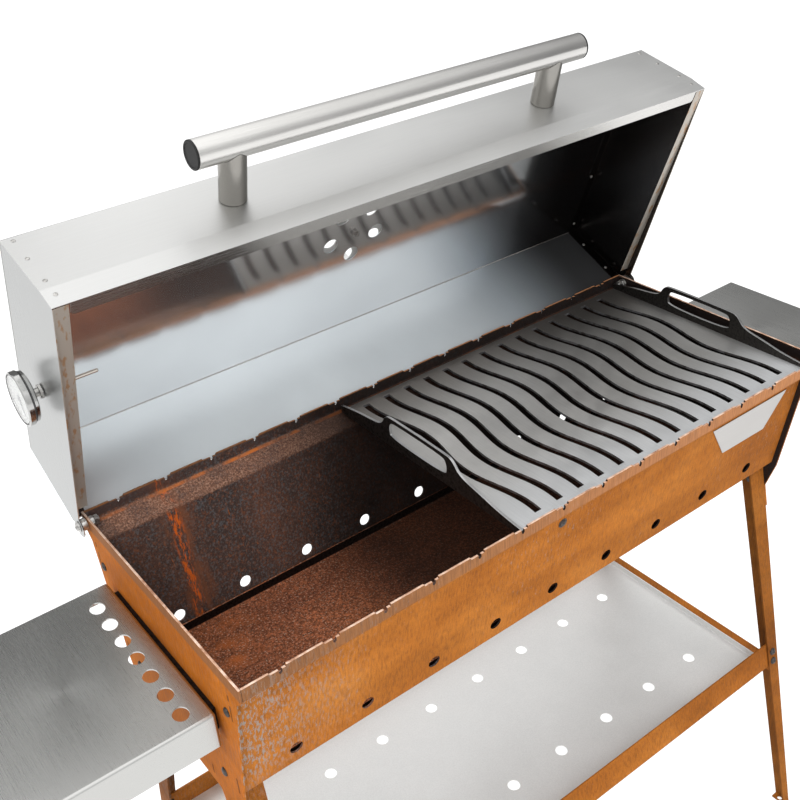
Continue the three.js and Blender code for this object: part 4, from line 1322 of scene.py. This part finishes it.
def gauge_paint(front):
    """Polished bezel with painted shade in a groove round the glass and in another behind the rim."""

    def choose(face):
        place = (LID.inverted() @ face.center - ORIGIN) / MM
        depth = place.x - front
        radius = math.hypot(place.y - GAUGE_Y, place.z - GAUGE_Z)
        return 1 if (depth < 1.0 and 30.8 < radius < 32.4) or 7.6 < depth < 9.6 else 0

    return choose


def add_gauge(looks):
    face = mm_box("gauge_case")[0][0]
    r = GAUGE_RADIUS
    case = lathe([(4, 0), (4, 30.7), (0.6, 31.0), (0, 31.6), (0, 32.6), (0.5, 33.4), (1.4, r), (7.5, r),
                  (8.6, 33.2), (8.8, 31.2), (10.2, 31.2), (10.4, 31.8), (13.8, 31.6), (15, 29.8), (15, 0)],
                 gauge_point(face), (1, 0, 0), 96)
    finish_piece("gauge_case_turned", case, "lid", [looks["chrome"], looks["groove"]],
                 gauge_paint(face), ("gauge_case",), lid=True)
    glass = lathe([(0, 0), (0, 30.2), (0.25, 30.6), (0.8, 30.6), (1.0, 30.2), (1.0, 0)], gauge_point(face + 0.4),
                  (1, 0, 0), 96)
    finish_piece("gauge_glass_disc", glass, "lid", [looks["glass"]], None, ("gauge_glass",), lid=True)
    dial = lathe([(0, 0), (0, 30.4), (0.5, 30.4), (0.5, 0)], gauge_point(face + 3.4), (1, 0, 0), 96)
    finish_piece("gauge_dial", dial, "lid", [looks["paper"]], lid=True)
    add_dial_marks(looks, face + 3.35)
    stem = merge([
        lathe([(0, 0), (0, 5.5), (11, 5.5), (11, 0)], gauge_point(face + 15.3), (1, 0, 0), 32),
        lathe([(0, 0), (0, 9.0), (0.8, 9.6), (1.6, 9.6), (2.0, 9.0), (2.0, 0)], gauge_point(face + 17.5),
              (1, 0, 0), 48),
        hexagon(17.0, gauge_point(face + 24.8), (1, 0, 0), 4.2),
    ])
    finish_piece("gauge_stem_turned", stem, "lid", [looks["bolt"]], None, ("gauge_stem",), lid=True,
                 smooth=35)
    collar = LID_SIDE + GAP + LID_SHEET + GAP
    probe = merge([
        hexagon(11.0, gauge_point(collar), (1, 0, 0), 4.0),
        lathe([(0, 0), (0, 2.5), (66, 2.5), (67.4, 1.6), (67.8, 0)], gauge_point(collar + 1), (1, 0, 0), 32),
    ])
    finish_piece("gauge_probe_rod", probe, "lid", [looks["probe"]], None, ("gauge_probe",), lid=True,
                 smooth=35)
    finish_piece("gauge_needle_blade", node_mesh("gauge_needle"), "needle", [looks["ink"]], None,
                 ("gauge_needle",), bevel=0.1)


def add_dial_marks(looks, x):
    """Printed scale: short and long strokes over three quarters of a turn."""
    parts = []
    count = 31
    for i in range(count):
        turn = math.radians(-135 + 270 * i / (count - 1))
        long = i % 5 == 0
        inner, outer = (22.5 if long else 25.0), 27.5
        half = 0.55 if long else 0.3
        outline = []
        for radius, side in ((inner, -half), (outer, -half), (outer, half), (inner, half)):
            y = -(radius * math.sin(turn) + side * math.cos(turn))
            z = radius * math.cos(turn) - side * math.sin(turn)
            outline.append((GAUGE_Y + y, GAUGE_Z + z))
        parts.append(prism(outline, x - 0.05, x + 0.1, "X"))
    finish_piece("gauge_scale", merge(parts), "lid", [looks["ink"]], lid=True)


def add_hinges(looks):
    """Dome screws through the lid's ears, spacers and double nuts inside the trough."""
    for side in ("left", "right"):
        head = merge([
            lathe([(0, 0), (0, 7.5), (0.9, 7.5), (1.3, 6.6), (3.0, 5.6), (4.4, 3.0), (4.4, 1.8), (2.8, 1.8),
                   (2.8, 0)], (LID_SIDE, HINGE_Y, HINGE_Z), (-1, 0, 0), 40),
            lathe([(0, 0), (0, 3.8), (27.2, 3.8), (27.9, 3.2), (27.9, 0)], (LID_SIDE - 0.5, HINGE_Y, HINGE_Z),
                  (1, 0, 0), 32),
        ])
        nuts = merge([
            hexagon(12.6, (SHEET + GAP + 0.9, HINGE_Y, HINGE_Z), (1, 0, 0), 5.4, 0.2),
            hexagon(12.6, (SHEET + GAP + 6.8, HINGE_Y, HINGE_Z), (1, 0, 0), 5.4, 0.7),
            lathe([(0, 0), (0, 7.3), (0.9, 7.3), (0.9, 0)], (SHEET + GAP, HINGE_Y, HINGE_Z), (1, 0, 0), 40),
        ])
        start = LID_SIDE + LID_SHEET + 2 * GAP
        spacer = lathe([(0, 4.4), (0, 8.2), (0.3, 8.5), (-start - GAP - 0.3, 8.5), (-start - GAP, 8.2),
                        (-start - GAP, 4.4), (0, 4.4)], (start, HINGE_Y, HINGE_Z), (1, 0, 0), 40)
        bmesh.ops.remove_doubles(spacer, verts=spacer.verts, dist=1e-7)
        pieces = (("bolt", head, "hinge_screw"), ("nut", nuts, "hinge_locknuts"), ("spacer", spacer, "hinge_ring"))
        for kind, bm, label in pieces:
            bm = mirror_x(bm) if side == "right" else bm
            finish_piece(f"{label}_{side}", bm, "frame", [looks["bolt"]], None,
                         (f"hinge_{kind}_{side}",), smooth=35)


# ---------------------------------------------------------------- grate

def slot_shape(x):
    left, right = [], []
    steps = 44
    for i in range(steps + 1):
        y = SLOT_Y[0] + i / steps * (SLOT_Y[1] - SLOT_Y[0])
        middle = x + SLOT_WAVE * math.cos(2 * math.pi * (y - SLOT_CREST) / SLOT_WAVELENGTH)
        left.append((middle - SLOT_WIDTH / 2, y))
        right.append((middle + SLOT_WIDTH / 2, y))
    return prism(right + left[::-1], -30, -10, "Z")


def smooth_outline(points, fixed):
    """Corner-cutting on a closed outline; fixed points stay sharp."""
    for _ in range(3):
        result = []
        count = len(points)
        for i, point in enumerate(points):
            before, after = Vector(points[i - 1]), Vector(points[(i + 1) % count])
            here = Vector(point)
            if point in fixed:
                result.append(point)
                continue
            result.append(tuple(here.lerp(before, 0.25)))
            result.append(tuple(here.lerp(after, 0.25)))
        points = result
    return points


def grate_side(x0, x1, low, high):
    """Upright end of the grate that swells into a lifting loop."""
    y0, y1 = low[1], high[1]
    base = low[2] + 0.5
    top = high[2]
    fixed = [(y0, base), (y1, base), (y1, -8), (y0, -11)]
    outline = [
        (y0, base), (y1, base), (y1, -8), (350, 0), (312, 4), (LOOP_Y[1] + 14, 8), (LOOP_Y[1] + 4, top - 2),
        (LOOP_Y[1] - 10, top), (LOOP_Y[0] + 10, top), (LOOP_Y[0] - 6, top - 2), (LOOP_Y[0] - 20, 8),
        (LOOP_Y[0] - 60, 1), (60, -5), (30, -9), (y0, -11),
    ]
    body = prism(smooth_outline(outline, fixed), x0, x1)
    loop = [
        (LOOP_Y[0] + 8, -5), (LOOP_Y[1] - 7, -5), (LOOP_Y[1] - 4, 6), (LOOP_Y[1] - 6, 17), (LOOP_Y[1] - 13, 22),
        (LOOP_Y[0] + 14, 22), (LOOP_Y[0] + 7, 17), (LOOP_Y[0] + 5, 6),
    ]
    return carve(body, [prism(smooth_outline(loop, []), x0 - 2, x1 + 2)])


def grate_paint(face):
    """Plate, dark slot walls, sooty side plates and the sides' bright top edges."""
    z = (face.center.z - ORIGIN.z) / MM
    x = (face.center.x - ORIGIN.x) / MM
    low, high = GRATE_X
    on_side = x < low + 4.4 or x > high - 4.4
    if on_side and z > -15.5:
        return 2 if abs(face.normal.x) > 0.7 else 3
    if on_side and abs(face.normal.x) > 0.7:
        return 2
    return 0 if abs(face.normal.z) > 0.8 else 1


def add_grate(looks):
    low, high = mm_box("grate")
    plate = slab((low[0], high[0]), (low[1], high[1]), (low[2], low[2] + GRATE_SHEET))
    plate = carve(plate, [slot_shape(SLOT_FIRST + i * SLOT_PITCH) for i in range(SLOTS)])
    sides = merge([grate_side(low[0], low[0] + GRATE_SHEET, low, high),
                   grate_side(high[0] - GRATE_SHEET, high[0], low, high)])
    body = carve(plate, [sides], "UNION")
    finish_piece("grate_cut", body, "grate",
                 [looks["grate"], looks["grate_edge"], looks["grate_side"], looks["grate_rim"]], grate_paint,
                 ("grate",), bevel=0.35)


# ---------------------------------------------------------------- everything

def make_looks():
    return {
        "rust": rust_outside(),
        # A darker copy of the outside rust, as painted shade: leg insides, the tabs in the end plates and the back
        # wall's top edge.
        "rust_painted_shade": rust_outside("rust_shaded", 0.45),
        # A darker copy of the outside rust for the legs, as painted shade under the trough.
        "leg_rust_painted_shade": rust_outside("rust_leg_painted_shade", 0.72),
        "burnt": rust_inside(),
        "ember": ember_floor(),
        # Near-black scale: soot on the ember tray, painted shadow on its flanges and painted shade on the table
        # brackets.
        "char_and_painted_shadow": bolt_metal("char_scale_painted_shadow", (0.028, 0.020, 0.017), 0.6),
        "edge": bare_edge(),
        "plate": brushed("sign_satin", (0.53, 0.515, 0.50), 0.42, "X", 0.06),
        "lid_out": brushed("lid_outside", (0.68, 0.68, 0.67), 0.42, "X", 0.05),
        "lid_in": lid_inner("lid_inside", (0.94, 0.945, 0.95), 0.10, 0.94),
        # The rear panel's inner face: a bluer, less mirror-like copy of the inner sheet, as painted reflection.
        "lid_rear": lid_inner("lid_rear_inside", (0.71, 0.76, 0.79), 0.20, 0.5),
        # The ends' outsides: a darker copy of the lid's stainless, as painted shade.
        "lid_end": brushed("lid_end_outside", (0.44, 0.447, 0.443), 0.30, "Z", 0.06),
        "lid_edge": brushed("lid_edge", (0.60, 0.60, 0.59), 0.35, "X", 0.08),
        # Lid mouth lip, and a painted highlight on the skin's inner bends.
        "lid_lip_and_crease_highlight": brushed("lid_lip_and_crease_highlight", (0.66, 0.65, 0.63), 0.25, "X", 0.06),
        # A dark copy of the lid's stainless for the inside faces of the lid ends.
        "lid_end_inner_dark": brushed("lid_end_inner_dark", (0.085, 0.078, 0.075), 0.22, "Z", 0.10),
        "lid_flange": brushed("lid_flange", (0.48, 0.435, 0.38), 0.32, "Y", 0.08, warm=0.8, metallic=0.6),
        "table": brushed("table_brushed", (0.52, 0.52, 0.505), 0.27, "Y", 0.045),
        "tube": brushed("tube_brushed", (0.70, 0.69, 0.67), 0.24, "X", 0.08),
        "post": brushed("post_brushed", (0.33, 0.318, 0.295), 0.24, "Z", 0.10),
        "chrome": brushed("gauge_polished", (0.50, 0.50, 0.49), 0.12, "Y", 0.04),
        # Near-black metal as painted shade in the bezel's grooves.
        "groove": bolt_metal("gauge_groove", (0.11, 0.11, 0.11), 0.3),
        "rivet": bolt_metal("rivet_metal", (0.50, 0.49, 0.47), 0.30),
        "bolt": bolt_metal("bolt_zinc", (0.58, 0.57, 0.55), 0.26),
        "dull_bolt": bolt_metal("bolt_dull", (0.34, 0.32, 0.30), 0.45),
        "dark_bolt": bolt_metal("bolt_dark", (0.10, 0.09, 0.085), 0.45),
        "probe": brushed("probe_steel", (0.68, 0.62, 0.56), 0.18, "X", 0.1),
        "grate": grate_steel(),
        "grate_edge": grate_cut(),
        "grate_side": bolt_metal("grate_side", (0.055, 0.05, 0.046), 0.42),
        "grate_rim": brushed("grate_rim", (0.50, 0.50, 0.50), 0.30, "Y", 0.2),
        "shelf": shelf_steel(),
        "black": dark_plastic(),
        "glass": clear_glass(),
        "paper": print_or_paper("gauge_paper", 0.6, (0.78, 0.77, 0.73), (0.84, 0.83, 0.80)),
        "ink": print_or_paper("printed_ink", 0.5, (0.012, 0.012, 0.013), (0.03, 0.03, 0.032)),
    }


add_camera()
add_studio()
scene_looks = make_looks()
add_trough(scene_looks)
add_stand(scene_looks)
add_tables(scene_looks)
add_lid(scene_looks)
add_grate(scene_looks)

view = bpy.context.scene.view_settings
view.view_transform = "Standard"
view.look = "None"
view.exposure = 0.0
